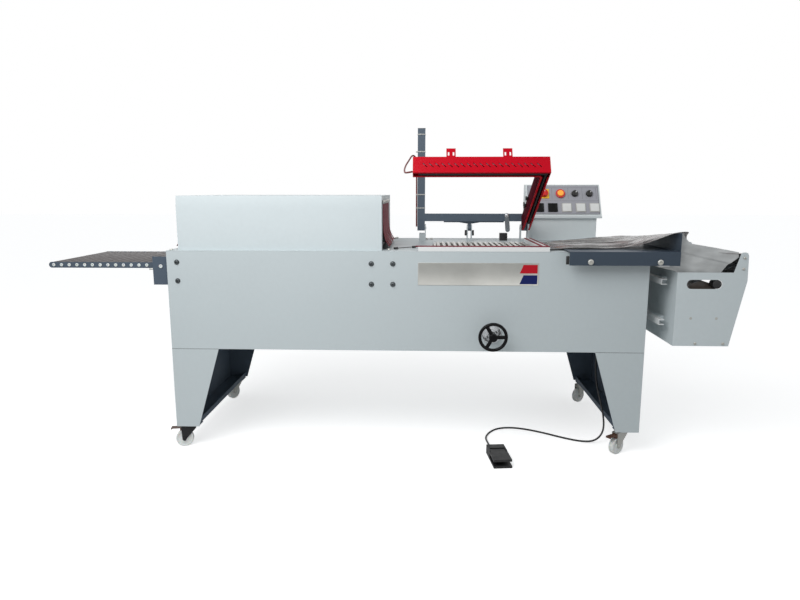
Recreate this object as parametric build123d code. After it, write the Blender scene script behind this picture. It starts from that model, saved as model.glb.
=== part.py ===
from build123d import *
import math
import os

# An L-bar sealer with a shrink tunnel on one body. Millimetres, +Z up, X along the machine
# (the packs travel towards -X), -Y towards the operator. Sizes are laid out from the middle of
# the body at floor level, and every node is shifted by ORIGIN when it is written.

# Body casing and table
BODY_LENGTH = 2150.0
BODY_DEPTH = 820.0
BODY_FRONT_Y = -440.0
TABLE_Z = 938.0
SKIRT_Z = 485.0
LEFT_X = -BODY_LENGTH / 2
RIGHT_X = BODY_LENGTH / 2
REAR_Y = BODY_FRONT_Y + BODY_DEPTH
# The sealing station keeps its distance from the right end, and the tunnel takes what is left
STATION_X = RIGHT_X - 1075.0
# Axis that the sealing head tilts about, along X
HINGE_Y = REAR_Y - 180.0
SHEET = 2.5
PANEL_FLANGE = 30.0
FRAME_TUBE = 30.0
VENT_WIDTH = 6.0
VENT_HEIGHT = 60.0
VENT_PITCH = 18.0
VENT_COUNT = 7
VENT_Z = TABLE_Z - 138.0
VENT_GROUPS_X = (LEFT_X + 435.0, RIGHT_X - 315.0)

# Clearances
RUNNING = 0.05
SOFT_GAP = 0.3
SLIDE_GAP = 0.3
TOUCH_GAP = 0.5

# Legs and casters
LEG_SKIN = 2.0
LEG_PLATE = 3.0
LEG_TOP_WIDTH = 218.0
LEG_FOOT_WIDTH = 107.0
LEG_FOOT_Z = 108.0
LEG_BASE_WIDTH = 97.0
LEG_BASE_THICK = 4.0
LEG_LIP_HEIGHT = 24.0
CASTER_PLATE = 3.0
CASTER_PLATE_LENGTH = 76.0
CASTER_PLATE_WIDTH = 64.0
CASTER_INSET_X = 63.0
CASTER_FRONT_Y = BODY_FRONT_Y + 40.0
CASTER_REAR_Y = REAR_Y - 45.0
CASTER_TRAIL = 40.0
WHEEL_RADIUS = 40.0
WHEEL_WIDTH = 24.0
WHEEL_HUB_WIDTH = 27.0
WHEEL_HUB_RADIUS = 13.0
AXLE_RADIUS = 5.0
AXLE_HEAD_RADIUS = 8.0
AXLE_HEAD = 4.0
KING_PIN_RADIUS = 6.0
KING_PIN_HEAD_RADIUS = 9.0
KING_PIN_HEAD = 3.0
FORK_PLATE = 3.0
FORK_CROWN_RADIUS = 25.0
BRAKE_PIN_RADIUS = 3.0
BRAKE_PIN_X = 44.0
BRAKE_PIN_Z = 90.0
BRAKE_BARREL_RADIUS = 6.0
BRAKE_REACH = 56.0
BRAKE_PLATE = 4.0
BRAKE_SHOE = 10.0
BRAKE_SHOE_DEPTH = 10.5
# Way that each caster's wheel trails from its king pin, in degrees from +X
CASTER_TURNS = {"front_left": 190.0, "front_right": 216.0, "rear_left": 240.0, "rear_right": 218.0}

# Shrink tunnel
HOOD_LEFT_X = LEFT_X + 45.0
HOOD_RIGHT_X = STATION_X - 105.0
HOOD_FRONT_Y = BODY_FRONT_Y + 30.0
HOOD_REAR_Y = REAR_Y - 89.0
HOOD_TOP_Z = TABLE_Z + 243.0
HOOD_CREASE_Z = TABLE_Z + 190.0
HOOD_LEAN = 7.0
PASSAGE_FRONT_Y = BODY_FRONT_Y + 90.0
PASSAGE_REAR_Y = HOOD_REAR_Y - 156.0
PASSAGE_TOP_Z = TABLE_Z + 202.0
LINING = 1.5
LINING_MARGIN = 20.0
HEATER_RADIUS = 4.0
HEATER_Y = PASSAGE_REAR_Y + 43.0
HEATER_HEIGHTS = (TABLE_Z + 24.0, TABLE_Z + 48.0, PASSAGE_TOP_Z + 6.0)
CURTAIN = 2.0
CURTAIN_BOW = 44.0
CURTAIN_OVERLAP = 18.0
BLOWER_X = HOOD_LEFT_X + 460.0
BLOWER_Z = TABLE_Z + 124.0
BLOWER_RADIUS = 74.0
BLOWER_WIDTH = 52.0
BLOWER_BLADES = 12
BLOWER_PLATE = 2.0
BLOWER_BLADE_DEPTH = 26.0
BLOWER_HUB_RADIUS = 15.0
BLOWER_SHAFT_RADIUS = 6.0
BLOWER_WALL_GAP = 22.0
MOTOR_FLANGE_RADIUS = 66.0
MOTOR_RADIUS = 50.0
MOTOR_FLANGE = 6.0
MOTOR_LENGTH = 66.0
MOTOR_FINS = 6

# Tunnel conveyor
BELT_TOP_Z = TABLE_Z + 10.0
BELT = 1.7
BELT_LEFT_X = HOOD_LEFT_X + 15.0
BELT_RIGHT_X = HOOD_RIGHT_X - 40.0
BELT_FRONT_Y = PASSAGE_FRONT_Y + 20.0
BELT_REAR_Y = PASSAGE_REAR_Y - 25.0
BELT_ROLLER_RADIUS = 25.0
BELT_SHAFT_RADIUS = 8.0
BELT_SIDE_PLATE = 4.0
BELT_SIDE_GAP = 16.0
BELT_WELL_MARGIN = 32.0

# Exit tray
TRAY_TIP_X = LEFT_X - 573.0
TRAY_ROOT_X = LEFT_X - 11.0
TRAY_FRONT_Y = PASSAGE_FRONT_Y - 40.0
TRAY_REAR_Y = PASSAGE_REAR_Y - 5.0
TRAY_RAIL_Z = TABLE_Z - 86.0
TRAY_RAIL_HEIGHT = 27.0
TRAY_RAIL = 3.0
TRAY_ROLLERS = 13
TRAY_FIRST_X = TRAY_TIP_X + 24.0
TRAY_PITCH = 36.4
TRAY_ROLLER_RADIUS = 14.0
TRAY_ROLLER_Z = TABLE_Z - 72.0
TRAY_AXLE_RADIUS = 4.0
TRAY_BOLT_RADIUS = 8.0
TRAY_BOLT = 5.0
TRAY_PIVOT_X = LEFT_X - 37.0
TRAY_PIVOT_Z = TABLE_Z - 74.0
TRAY_PIVOT_RADIUS = 7.0
TRAY_STOP_X = LEFT_X - 66.0
TRAY_STOP_RADIUS = 6.0
BRACKET_BOTTOM_Z = TABLE_Z - 159.0
BRACKET_TOP_Z = TABLE_Z - 30.0
BRACKET_OUTER_X = LEFT_X - 75.0
BRACKET_DEPTH = 25.0
BRACKET = 3.0

# Lower jaw: the L of two bars that the head closes on
JAW_LEFT_X = STATION_X + 58.0
JAW_RIGHT_X = STATION_X + 637.0
JAW_WIDTH = 28.0
JAW_ARM_WIDTH = 34.0
JAW_HEIGHT = 20.0
JAW_REAR_Y = HINGE_Y - 120.0
PAD_HEIGHT = 4.0
PAD_INSET = 4.0
PAD_LEFT_OVERHANG = 11.0
PAD_EDGE = 9.0
JAW_RIB = 15.0
JAW_RIB_DROP = 1.0

# Sealing bed and its lift
BED_LEFT_X = STATION_X + 131.0
BED_RIGHT_X = STATION_X + 590.0
BED_FRONT_Y = BODY_FRONT_Y + 35.0
BED_REAR_Y = HINGE_Y - 234.0
BED_WELL_MARGIN = 4.0
BED_FRAME_WALL = 12.0
BED_FRAME_Z = TABLE_Z - 16.0
BED_FRAME_HEIGHT = 24.0
BED_TOP_Z = TABLE_Z + 12.0
SLAT_COUNT = 17
SLAT_WIDTH = 14.0
SLAT_PITCH = 26.0
SLAT_THICK = 10.0
SLAT_FIRST_X = STATION_X + 153.0
LIFT_Y = -240.0
LIFT_BEAM = 30.0
COLUMN_RADIUS = 20.0
COLUMN_LENGTH = TABLE_Z - SKIRT_Z - 221.0
GUIDE_WALL = 7.0
GUIDE_TOP_Z = TABLE_Z - 118.0
GEARBOX = 60.0
GEARBOX_DEPTH = 70.0
GEARBOX_FOOT = 50.0
BOSS_RADIUS = 18.0
BOSS_FLANGE_RADIUS = 44.0
BOSS_FLANGE = 6.0
BOSS_NOSE = 26.0

# Handwheel
WHEEL_X = STATION_X + 390.0
WHEEL_Z = SKIRT_Z + 83.0
HANDWHEEL_Y = BODY_FRONT_Y - 72.0
HANDWHEEL_RADIUS = 58.0
HANDWHEEL_RIM = 7.0
HANDWHEEL_HUB_RADIUS = 19.0
HANDWHEEL_HUB_FRONT = 18.0
HANDWHEEL_HUB_BACK = 14.0
HANDWHEEL_SPOKE = 5.0
HANDWHEEL_SPOKES = 3
HANDWHEEL_TURN = 90.0
HANDWHEEL_SHAFT_RADIUS = 7.0

# Sealing head: built closed and turned up about its hinge for the rest pose
HINGE_Z = TABLE_Z + 67.0
HEAD_OPEN = 29.0
PIVOT_RADIUS = 8.0
COVER_LEFT_X = STATION_X + 32.0
COVER_RIGHT_X = STATION_X + 640.0
COVER_FRONT_Y = BODY_FRONT_Y - 5.0
COVER_DEPTH = 42.0
COVER_BOTTOM_Z = TABLE_Z + 26.0
COVER_HEIGHT = 80.0
COVER = 2.0
COVER_LIP = 9.0
COVER_ARM_WIDTH = 40.0
COVER_ARM_REAR_Y = HINGE_Y - 60.0
LOUVRES = 19
LOUVRE_FIRST_X = STATION_X + 86.0
LOUVRE_PITCH = 28.0
LOUVRE_LENGTH = 29.0
LOUVRE_WIDTH = 4.0
LOUVRE_TILT = 45.0
LOUVRE_Z = TABLE_Z + 64.0
EAR_CENTRES_X = (COVER_LEFT_X + 171.0, COVER_RIGHT_X - 183.0)
EAR_WIDTH = 42.0
EAR_HEIGHT = 56.0
EAR = 3.0
EAR_SLOT_WIDTH = 7.0
EAR_SLOT_HEIGHT = 18.0
EAR_SLOT_SPREAD = 11.0
EAR_SETBACK = 20.0
HEAD_TUBE_Z = TABLE_Z + 66.0
HEAD_TUBE_WIDTH = 26.0
HEAD_BAR_DEPTH = 30.0
SEAL_BAR_WIDTH = 16.0
SEAL_BAR_NOSE = 6.0
SEAL_BAR_TAPER = 12.0
SEAL_BAR_REAR_Y = HINGE_Y - 134.0
BEAM = 40.0
BEAM_Z = TABLE_Z + 104.0
MAST_X = STATION_X + 48.0
MAST_BOTTOM_Z = TABLE_Z + 54.0
MAST_TOP_Z = TABLE_Z + 588.0
MAST_WALL = 3.0
STRIP_LEFT_X = STATION_X + 190.0
STRIP_RIGHT_X = STATION_X + 510.0
STRIP = 6.0
GUSSET_X = STATION_X + 328.0
GUSSET_TOP_HALF = 58.0
GUSSET_DEPTH = 12.0
GUSSET_SWELL = 8.0
LUG_WIDTH = 16.0
LUG_RADIUS = 15.0
CAM_X = STATION_X + 527.0
CAM_WIDTH = 24.0
CAM_BOTTOM_Z = TABLE_Z + 47.0
CAM_TOP_Z = TABLE_Z + 148.0
CAM = 6.0
CAM_TILT = 5.0

# Hinge posts, wing knobs and the head's limit switch
POST = 5.0
POST_DEPTH = 40.0
POST_FOOT_Z = TABLE_Z + 40.0
POST_LEFT_FOOT_X = STATION_X + 58.0
KNOB_Z = TABLE_Z + 39.0
KNOB_RADIUS = 10.0
KNOB_THICK = 10.0
KNOB_STUD_RADIUS = 4.0
KNOB_LOBES = 3
BRACKET_EAR_GAP = 3.0
SWITCH_LEFT_X = STATION_X + 493.0
SWITCH_WIDTH = 40.0
SWITCH_FRONT_Y = HINGE_Y + 2.0
SWITCH_DEPTH = 34.0
SWITCH_HEIGHT = 40.0
SWITCH_ARM = 14.0

# Mast cable, clipped up the mast and led over to the head's left end
CABLE_RADIUS = 4.0
# Its places on the closed head: the first from the hinge's axis, the rest from the lower
# front edge of the cover's left end
CABLE_AT_MAST = (
    (43.0, -3.3937, 6.1223), (43.0, -134.8721, 245.3783), (41.0, -188.1258, 318.7612),
    (22.0, -251.2786, 298.6186), (5.0, -309.1377, 227.6727),
)
CABLE_AT_COVER = (
    (-8.0, 274.6095, 203.8492), (-12.0, 210.4478, 144.2734), (-10.0, 145.5163, 92.2743),
    (-5.0, 89.9207, 52.3103), (7.0, 50.173, 29.1344), (28.8, 25.9784, 19.1532),
)

# Console
PEDESTAL_LEFT_X = RIGHT_X - 410.0
PEDESTAL_RIGHT_X = RIGHT_X - 60.0
PEDESTAL_FRONT_Y = REAR_Y - 140.0
PEDESTAL_REAR_Y = REAR_Y - 12.0
CONSOLE_LEFT_X = RIGHT_X - 435.0
CONSOLE_RIGHT_X = RIGHT_X - 35.0
CONSOLE_BOTTOM_Z = TABLE_Z + 119.0
CONSOLE_LIP_Z = TABLE_Z + 130.0
CONSOLE_TOP_Z = TABLE_Z + 298.0
CONSOLE_LIP_Y = REAR_Y - 155.0
CONSOLE_FACE_Y = REAR_Y - 147.0
CONSOLE_FACE_Z = TABLE_Z + 134.0
CONSOLE_CREST_Y = REAR_Y - 58.0
CONSOLE_REAR_Y = REAR_Y - 6.0
FACE_MARGIN = 8.0
FACE_PLATE = 3.0
UPPER_ROW = 128.0
LOWER_ROW = 44.0
MAIN_SWITCH_X = RIGHT_X - 339.0
LAMP_X = RIGHT_X - 250.0
DIAL_XS = {"speed_dial": RIGHT_X - 172.0, "heat_dial": RIGHT_X - 94.0}
DISPLAY_XS = (RIGHT_X - 369.0, RIGHT_X - 295.0)
PUSH_XS = {
    "push_switch_left": RIGHT_X - 220.0, "push_switch_middle": RIGHT_X - 145.0,
    "push_switch_right": RIGHT_X - 71.0,
}
DISPLAY_SIZE = 50.0
DISPLAY_RISE = 5.0
PUSH_SIZE = 46.0
PUSH_FRAME = 3.0
PUSH_RISE = 7.0
PUSH_TRAVEL = 3.0
MAIN_PLATE = 56.0
MAIN_PLATE_RISE = 3.0
MAIN_KNOB_RADIUS = 22.0
MAIN_KNOB_RISE = 12.0
MAIN_GRIP_WIDTH = 12.0
LAMP_RING_RADIUS = 25.0
LAMP_RADIUS = 17.0
LAMP_RING_RISE = 9.0
LAMP_RISE = 15.0
LAMP_TRAVEL = 4.0
DIAL_RADIUS = 16.0
DIAL_RISE = 17.0
DIAL_SKIRT_RADIUS = 18.0
DIAL_SKIRT = 3.0
STEM_RADIUS = 4.0
STEM_DEPTH = 14.0

# Film tray beside the jaws
FILM_TRAY_LEFT_X = RIGHT_X - 365.0
FILM_TRAY_RIGHT_X = RIGHT_X + 105.0
FILM_TRAY_FRONT_Y = BODY_FRONT_Y - 60.0
FILM_TRAY_REAR_Y = HINGE_Y - 230.0
FILM_TRAY_FLOOR_Z = TABLE_Z + 6.5
FILM_TRAY_BAR_Z = TABLE_Z - 53.0
FILM_TRAY_WALL_Z = TABLE_Z + 88.0
FILM_TRAY_WALL_REAR_Z = TABLE_Z + 42.0
TRAY_GUIDES_X = (FILM_TRAY_LEFT_X + 50.0, FILM_TRAY_RIGHT_X - 160.0)
TRAY_GUIDE_WIDTH = 30.0
TRAY_GUIDE_FRONT_Y = BODY_FRONT_Y + 25.0
TRAY_GUIDE_REAR_Y = FILM_TRAY_REAR_Y - 20.0

# Film carriage on the right-hand end
RAIL_OUTER_X = RIGHT_X + 53.0
RAIL_SIZE = 25.0
RAIL_WALL = 3.0
RAIL_FRONT_Y = BODY_FRONT_Y
RAIL_REAR_Y = REAR_Y - 50.0
RAIL_HEIGHTS = (TABLE_Z - 311.0, TABLE_Z - 130.0)
RAIL_BRACKETS_Y = (BODY_FRONT_Y + 380.0, REAR_Y - 100.0)
RAIL_BRACKET = 40.0
BIN_LEFT_X = RIGHT_X + 105.0
BIN_FOOT_X = RIGHT_X + 346.0
BIN_RIGHT_X = RIGHT_X + 403.0
BIN_FRONT_Y = BODY_FRONT_Y - 40.0
BIN_REAR_Y = BIN_FRONT_Y + 580.0
BIN_BOTTOM_Z = TABLE_Z - 409.0
BIN_KNEE_Z = TABLE_Z - 119.0
BIN_EDGE_Z = TABLE_Z - 83.0
BIN_EAR_X = RIGHT_X + 343.0
BIN_EAR_TOP_Z = TABLE_Z + 4.0
BIN_WALL = 2.5
BIN_SKIRT_Z = TABLE_Z - 203.0
HANDLE_LEFT_X = RIGHT_X + 147.0
HANDLE_RIGHT_X = RIGHT_X + 298.0
HANDLE_Z = TABLE_Z - 135.0
HANDLE_RADIUS = 20.0
SLIDERS_Y = (BIN_FRONT_Y + 150.0, BIN_REAR_Y - 30.0)
SLIDER_LENGTH = 60.0
FILM_ROLL_X = RIGHT_X + 230.0
FILM_ROLL_Z = TABLE_Z - 206.0
FILM_ROLL_RADIUS = 78.0
FILM_CORE_RADIUS = 38.0
FILM_ROLL_FRONT_Y = BIN_FRONT_Y + 50.0
FILM_ROLL_REAR_Y = BIN_FRONT_Y + 530.0
CRADLE_RADIUS = 18.0
CRADLE_SPREAD = 55.0
GUIDE_ROLLER_RADIUS = 16.0
GUIDE_ROLLERS = {
    "guide_roller_upper": (BIN_RIGHT_X - 21.0, TABLE_Z - 20.0),
    "guide_roller_lower": (BIN_RIGHT_X - 22.0, TABLE_Z - 67.0),
}
ROLLER_SHAFT_RADIUS = 6.0
ROLLER_END_GAP = 7.0

# Film web over the tray
FILM = 2.5
FILM_FRONT_Y = FILM_TRAY_FRONT_Y + 30.0
FILM_REAR_Y = FILM_TRAY_REAR_Y - 10.0
# Its front and rear lines over the tray and the bin, from the tray's right end and the table
FILM_FRONT_LINE = (
    (-534.0, 8.0), (-490.0, 6.8), (-140.0, 6.8), (-75.0, 22.0), (-30.0, 60.0), (-6.0, 85.6),
    (14.0, 85.6), (34.0, 62.0), (48.0, 36.0), (142.0, 18.0), (272.0, -3.5), (286.0, -3.5),
)
FILM_REAR_LINE = (
    (-534.0, 8.0), (-490.0, 12.0), (-240.0, 36.0), (-160.0, 39.0), (-60.0, 41.0), (-6.0, 43.4),
    (14.0, 43.4), (34.0, 38.0), (58.0, 26.0), (142.0, 12.0), (272.0, -3.5), (286.0, -3.5),
)
FILM_BIN_FRONT_Y = BIN_FRONT_Y + 40.0

# Foot pedal on the floor
PEDAL_X = STATION_X + 420.0
PEDAL_Y = -436.0
PEDAL_TURN = 6.0
PEDAL_WIDTH = 82.0
PEDAL_LENGTH = 172.0
PEDAL_BASE = 10.0
PEDAL_HEIGHT = 41.0
PEDAL_CHEEK = 6.0
PEDAL_CHEEK_LENGTH = 72.0
PEDAL_HOUSING = 40.0
TREADLE_BOTTOM_Z = 28.0
TREADLE = 10.0
TREADLE_PIN_Y = -55.0
TREADLE_PIN_Z = 32.0
TREADLE_PIN_RADIUS = 3.0
TREADLE_REAR_Y = -46.0
PEDAL_CORD_X = -19.0
PEDAL_CORD_Z = 20.0
RELIEF_RADIUS = 8.0
RELIEF_LENGTH = 28.0

# Pedal cord and the cable glands under the body
CORD_RADIUS = 4.5
CORD_FLOOR_Z = 4.7
CORD_BEND = 0.45
GLAND_X = RIGHT_X - 133.0
GLAND_Y = -160.0
MAINS_X = RIGHT_X - 115.0
MAINS_Y = REAR_Y - 170.0
GLAND_HEX_RADIUS = 15.0
GLAND_HEX = 12.0
GLAND_RADIUS = 10.0
GLAND_LENGTH = 30.0
GLAND_THREAD = 9.0
MAINS_BORE_RADIUS = 6.0
CORD_POINTS = (
    (GLAND_X, GLAND_Y, SKIRT_Z - GLAND_LENGTH), (GLAND_X, GLAND_Y, 398.0),
    (938.0, -170.0, 325.0), (941.0, -198.0, 252.0),
    (953.0, -236.0, 182.0), (962.0, -276.0, 112.0), (955.0, -301.0, 52.0), (914.0, -312.0, 12.0),
    (852.0, -300.0, CORD_FLOOR_Z), (772.0, -256.0, CORD_FLOOR_Z), (686.0, -192.0, CORD_FLOOR_Z),
    (596.0, -143.0, CORD_FLOOR_Z), (521.0, -128.0, CORD_FLOOR_Z), (459.0, -148.0, CORD_FLOOR_Z),
    (418.0, -199.0, CORD_FLOOR_Z), (397.0, -255.0, 7.0), (390.0, -308.0, 14.0),
)
CORD_LAST_RUN = 48.0

# Derived places
DECK_UNDER_Z = TABLE_Z - SHEET
PAN_TOP_Z = SKIRT_Z + SHEET
CASTER_X = BODY_LENGTH / 2 - CASTER_INSET_X
FORK_TOP_Z = LEG_FOOT_Z - CASTER_PLATE - SLIDE_GAP
FORK_CROWN_Z = FORK_TOP_Z - FORK_PLATE
FORK_INNER = WHEEL_HUB_WIDTH / 2 + TOUCH_GAP
FORK_OUTER = FORK_INNER + FORK_PLATE
BELT_AXIS_Z = BELT_TOP_Z - BELT - SOFT_GAP - BELT_ROLLER_RADIUS
JAW_TOP_Z = TABLE_Z + JAW_HEIGHT
PAD_TOP_Z = JAW_TOP_Z + PAD_HEIGHT
SEAL_BAR_Z = PAD_TOP_Z + TOUCH_GAP
HANDWHEEL_FRONT_Y = HANDWHEEL_Y - HANDWHEEL_HUB_FRONT
HEAD_TUBE_TOP_Z = COVER_BOTTOM_Z + COVER_HEIGHT - COVER
ARM_CENTRE_X = COVER_RIGHT_X - COVER_ARM_WIDTH / 2
MAST_RIGHT_X = MAST_X + BEAM
RAIL_INNER_X = RAIL_OUTER_X + RAIL_SIZE
FACE_ANGLE = math.atan2(CONSOLE_CREST_Y - CONSOLE_FACE_Y, CONSOLE_TOP_Z - CONSOLE_FACE_Z)
FACE_NORMAL = Vector(0, -math.cos(FACE_ANGLE), math.sin(FACE_ANGLE))
FACE_LENGTH = math.hypot(CONSOLE_CREST_Y - CONSOLE_FACE_Y, CONSOLE_TOP_Z - CONSOLE_FACE_Z)
CRADLE_DISTANCE = FILM_ROLL_RADIUS + CRADLE_RADIUS + SOFT_GAP
CRADLE_Z = FILM_ROLL_Z - math.sqrt(CRADLE_DISTANCE ** 2 - CRADLE_SPREAD ** 2)
CRADLES = {
    "cradle_roller_left": (FILM_ROLL_X - CRADLE_SPREAD, CRADLE_Z),
    "cradle_roller_right": (FILM_ROLL_X + CRADLE_SPREAD, CRADLE_Z),
}

# Every node is shifted so that the origin is on the floor under the middle of the whole machine
ORIGIN = Vector(-(TRAY_TIP_X + BIN_RIGHT_X) / 2, -(HANDWHEEL_FRONT_Y + REAR_Y) / 2, 0)


def block(x0, x1, y0, y1, z0, z1):
    """A box between two opposite corners."""
    middle = Pos((x0 + x1) / 2, (y0 + y1) / 2, (z0 + z1) / 2)
    return middle * Box(x1 - x0, y1 - y0, z1 - z0)


def rod_x(radius, x0, x1, y, z):
    """A cylinder along X."""
    return Pos((x0 + x1) / 2, y, z) * Rot(0, 90, 0) * Cylinder(radius, x1 - x0)


def rod_y(radius, y0, y1, x, z):
    """A cylinder along Y."""
    return Pos(x, (y0 + y1) / 2, z) * Rot(90, 0, 0) * Cylinder(radius, y1 - y0)


def rod_z(radius, z0, z1, x, y):
    """A cylinder along Z."""
    return Pos(x, y, (z0 + z1) / 2) * Cylinder(radius, z1 - z0)


def prism_x(points, x0, x1):
    """A polygon of (y, z) points carried along X."""
    outline = Polyline(*[(x0, y, z) for y, z in points], close=True)
    return extrude(make_face(outline), amount=x1 - x0, dir=(1, 0, 0))


def prism_y(points, y0, y1):
    """A polygon of (x, z) points carried along Y."""
    outline = Polyline(*[(x, y0, z) for x, z in points], close=True)
    return extrude(make_face(outline), amount=y1 - y0, dir=(0, 1, 0))


def mirrored(part):
    """The same piece on the other end of the body."""
    return mirror(part, about=Plane.YZ)


def slot_y(x0, x1, z, radius, y0, y1):
    """A cutter with round ends along X, through a wall that faces Y."""
    middle = block(x0 + radius, x1 - radius, y0, y1, z - radius, z + radius)
    return middle + rod_y(radius, y0, y1, x0 + radius, z) + rod_y(radius, y0, y1, x1 - radius, z)


def save(name, *pieces):
    """Write the solids of one node, shifted to the origin."""
    solids = [solid for piece in pieces for solid in piece.solids()]
    node = solids[0] if len(solids) == 1 else Compound(solids)
    export_step(node.moved(Location(ORIGIN)), os.path.join("parts", name + ".step"))


def front_panel():
    """Front sheet with its bottom flange and the hole for the handwheel's bearing."""
    face = block(LEFT_X, RIGHT_X, BODY_FRONT_Y, BODY_FRONT_Y + SHEET, SKIRT_Z, DECK_UNDER_Z)
    flange = block(
        LEFT_X, RIGHT_X, BODY_FRONT_Y + SHEET, BODY_FRONT_Y + PANEL_FLANGE, SKIRT_Z, PAN_TOP_Z
    )
    hole = rod_y(BOSS_RADIUS, BODY_FRONT_Y - SHEET, BODY_FRONT_Y + 2 * SHEET, WHEEL_X, WHEEL_Z)
    return face + flange - hole


def vents():
    """Cutters for the cooling slots in the rear wall."""
    cutters = []
    for group_x in VENT_GROUPS_X:
        for index in range(VENT_COUNT):
            x = group_x + index * VENT_PITCH
            cutters.append(block(
                x, x + VENT_WIDTH, REAR_Y - 2 * SHEET, REAR_Y + SHEET, VENT_Z, VENT_Z + VENT_HEIGHT
            ))
    return cutters


def body_shell():
    """Rear wall, ends and pan, with the welded tube frame and conveyor plates inside."""
    inner_left = LEFT_X + SHEET
    inner_right = RIGHT_X - SHEET
    inner_front = BODY_FRONT_Y + SHEET
    inner_rear = REAR_Y - SHEET
    shell = block(LEFT_X, RIGHT_X, inner_rear, REAR_Y, SKIRT_Z, DECK_UNDER_Z)
    shell += block(LEFT_X, inner_left, inner_front, inner_rear, PAN_TOP_Z, DECK_UNDER_Z)
    shell += block(inner_right, RIGHT_X, inner_front, inner_rear, PAN_TOP_Z, DECK_UNDER_Z)
    shell += block(LEFT_X, RIGHT_X, BODY_FRONT_Y + PANEL_FLANGE, inner_rear, SKIRT_Z, PAN_TOP_Z)
    tube_z = DECK_UNDER_Z - FRAME_TUBE
    front_rail_rear = inner_front + FRAME_TUBE
    rear_rail_front = inner_rear - FRAME_TUBE
    shell += block(inner_left, inner_right, inner_front, front_rail_rear, tube_z, DECK_UNDER_Z)
    shell += block(inner_left, inner_right, rear_rail_front, inner_rear, tube_z, DECK_UNDER_Z)
    belt_end = BELT_RIGHT_X + BELT_WELL_MARGIN
    bed_left = BED_LEFT_X - BED_WELL_MARGIN
    bed_right = BED_RIGHT_X + BED_WELL_MARGIN
    for x in (belt_end, bed_left - FRAME_TUBE, bed_right):
        shell += block(x, x + FRAME_TUBE, front_rail_rear, rear_rail_front, tube_z, DECK_UNDER_Z)
    plate_z = BELT_AXIS_Z - BELT_ROLLER_RADIUS
    plate_front = BELT_FRONT_Y - BELT_SIDE_GAP - BELT_SIDE_PLATE
    plate_rear = BELT_REAR_Y + BELT_SIDE_GAP
    for y in (plate_front, plate_rear):
        shell += block(inner_left, belt_end, y, y + BELT_SIDE_PLATE, plate_z, DECK_UNDER_Z)
        for x in (BELT_LEFT_X, BELT_RIGHT_X):
            shell -= rod_y(BELT_SHAFT_RADIUS + RUNNING, y - 1, y + BELT_SIDE_PLATE + 1, x, BELT_AXIS_Z)
    for x, y in ((GLAND_X, GLAND_Y), (MAINS_X, MAINS_Y)):
        shell -= rod_z(GLAND_THREAD, SKIRT_Z - SHEET, PAN_TOP_Z + SHEET, x, y)
    for cutter in vents():
        shell -= cutter
    return shell


def table_top():
    """Table sheet with the wells for the tunnel conveyor and the bed, and the tray's guides."""
    top = block(LEFT_X, RIGHT_X, BODY_FRONT_Y, REAR_Y, DECK_UNDER_Z, TABLE_Z)
    top -= block(
        BELT_LEFT_X - BELT_WELL_MARGIN, BELT_RIGHT_X + BELT_WELL_MARGIN,
        BELT_FRONT_Y - BELT_SIDE_GAP, BELT_REAR_Y + BELT_SIDE_GAP,
        DECK_UNDER_Z - SHEET, TABLE_Z + SHEET,
    )
    top -= block(
        BED_LEFT_X - BED_WELL_MARGIN, BED_RIGHT_X + BED_WELL_MARGIN,
        BED_FRONT_Y - SHEET, BED_REAR_Y + BED_WELL_MARGIN,
        DECK_UNDER_Z - SHEET, TABLE_Z + SHEET,
    )
    guide_top = FILM_TRAY_FLOOR_Z - SHEET - SLIDE_GAP
    for x in TRAY_GUIDES_X:
        top += block(
            x, x + TRAY_GUIDE_WIDTH, TRAY_GUIDE_FRONT_Y, TRAY_GUIDE_REAR_Y, TABLE_Z, guide_top
        )
    return top


def leg_outline(inset):
    """Front view of the left leg: square outside, tapering inside."""
    return (
        (LEFT_X + inset, SKIRT_Z), (LEFT_X + LEG_TOP_WIDTH, SKIRT_Z),
        (LEFT_X + LEG_FOOT_WIDTH, LEG_FOOT_Z), (LEFT_X + inset, LEG_FOOT_Z),
    )


def leg_skin():
    """Outer cladding of the left leg: front, end and rear faces."""
    outline = leg_outline(0)
    skin = prism_y(outline, BODY_FRONT_Y, BODY_FRONT_Y + LEG_SKIN)
    skin += prism_y(outline, REAR_Y - LEG_SKIN, REAR_Y)
    skin += block(
        LEFT_X, LEFT_X + LEG_SKIN, BODY_FRONT_Y + LEG_SKIN, REAR_Y - LEG_SKIN, LEG_FOOT_Z, SKIRT_Z
    )
    return skin


def leg_frame():
    """Inner leg of the left end: three walls, a base plate with its lip, and the king pins."""
    outline = leg_outline(LEG_SKIN)
    front = BODY_FRONT_Y + LEG_SKIN
    rear = REAR_Y - LEG_SKIN
    outer_x = LEFT_X + LEG_SKIN
    lip_x = LEFT_X + LEG_BASE_WIDTH
    frame = prism_y(outline, front, front + LEG_PLATE)
    frame += prism_y(outline, rear - LEG_PLATE, rear)
    frame += block(outer_x, outer_x + LEG_PLATE, front, rear, LEG_FOOT_Z, SKIRT_Z)
    frame += block(outer_x, lip_x, front, rear, LEG_FOOT_Z, LEG_FOOT_Z + LEG_BASE_THICK)
    frame += block(lip_x - LEG_PLATE, lip_x, front, rear, LEG_FOOT_Z, LEG_FOOT_Z + LEG_LIP_HEIGHT)
    for y in (CASTER_FRONT_Y, CASTER_REAR_Y):
        frame += king_pin(-CASTER_X, y)
    return frame


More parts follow.
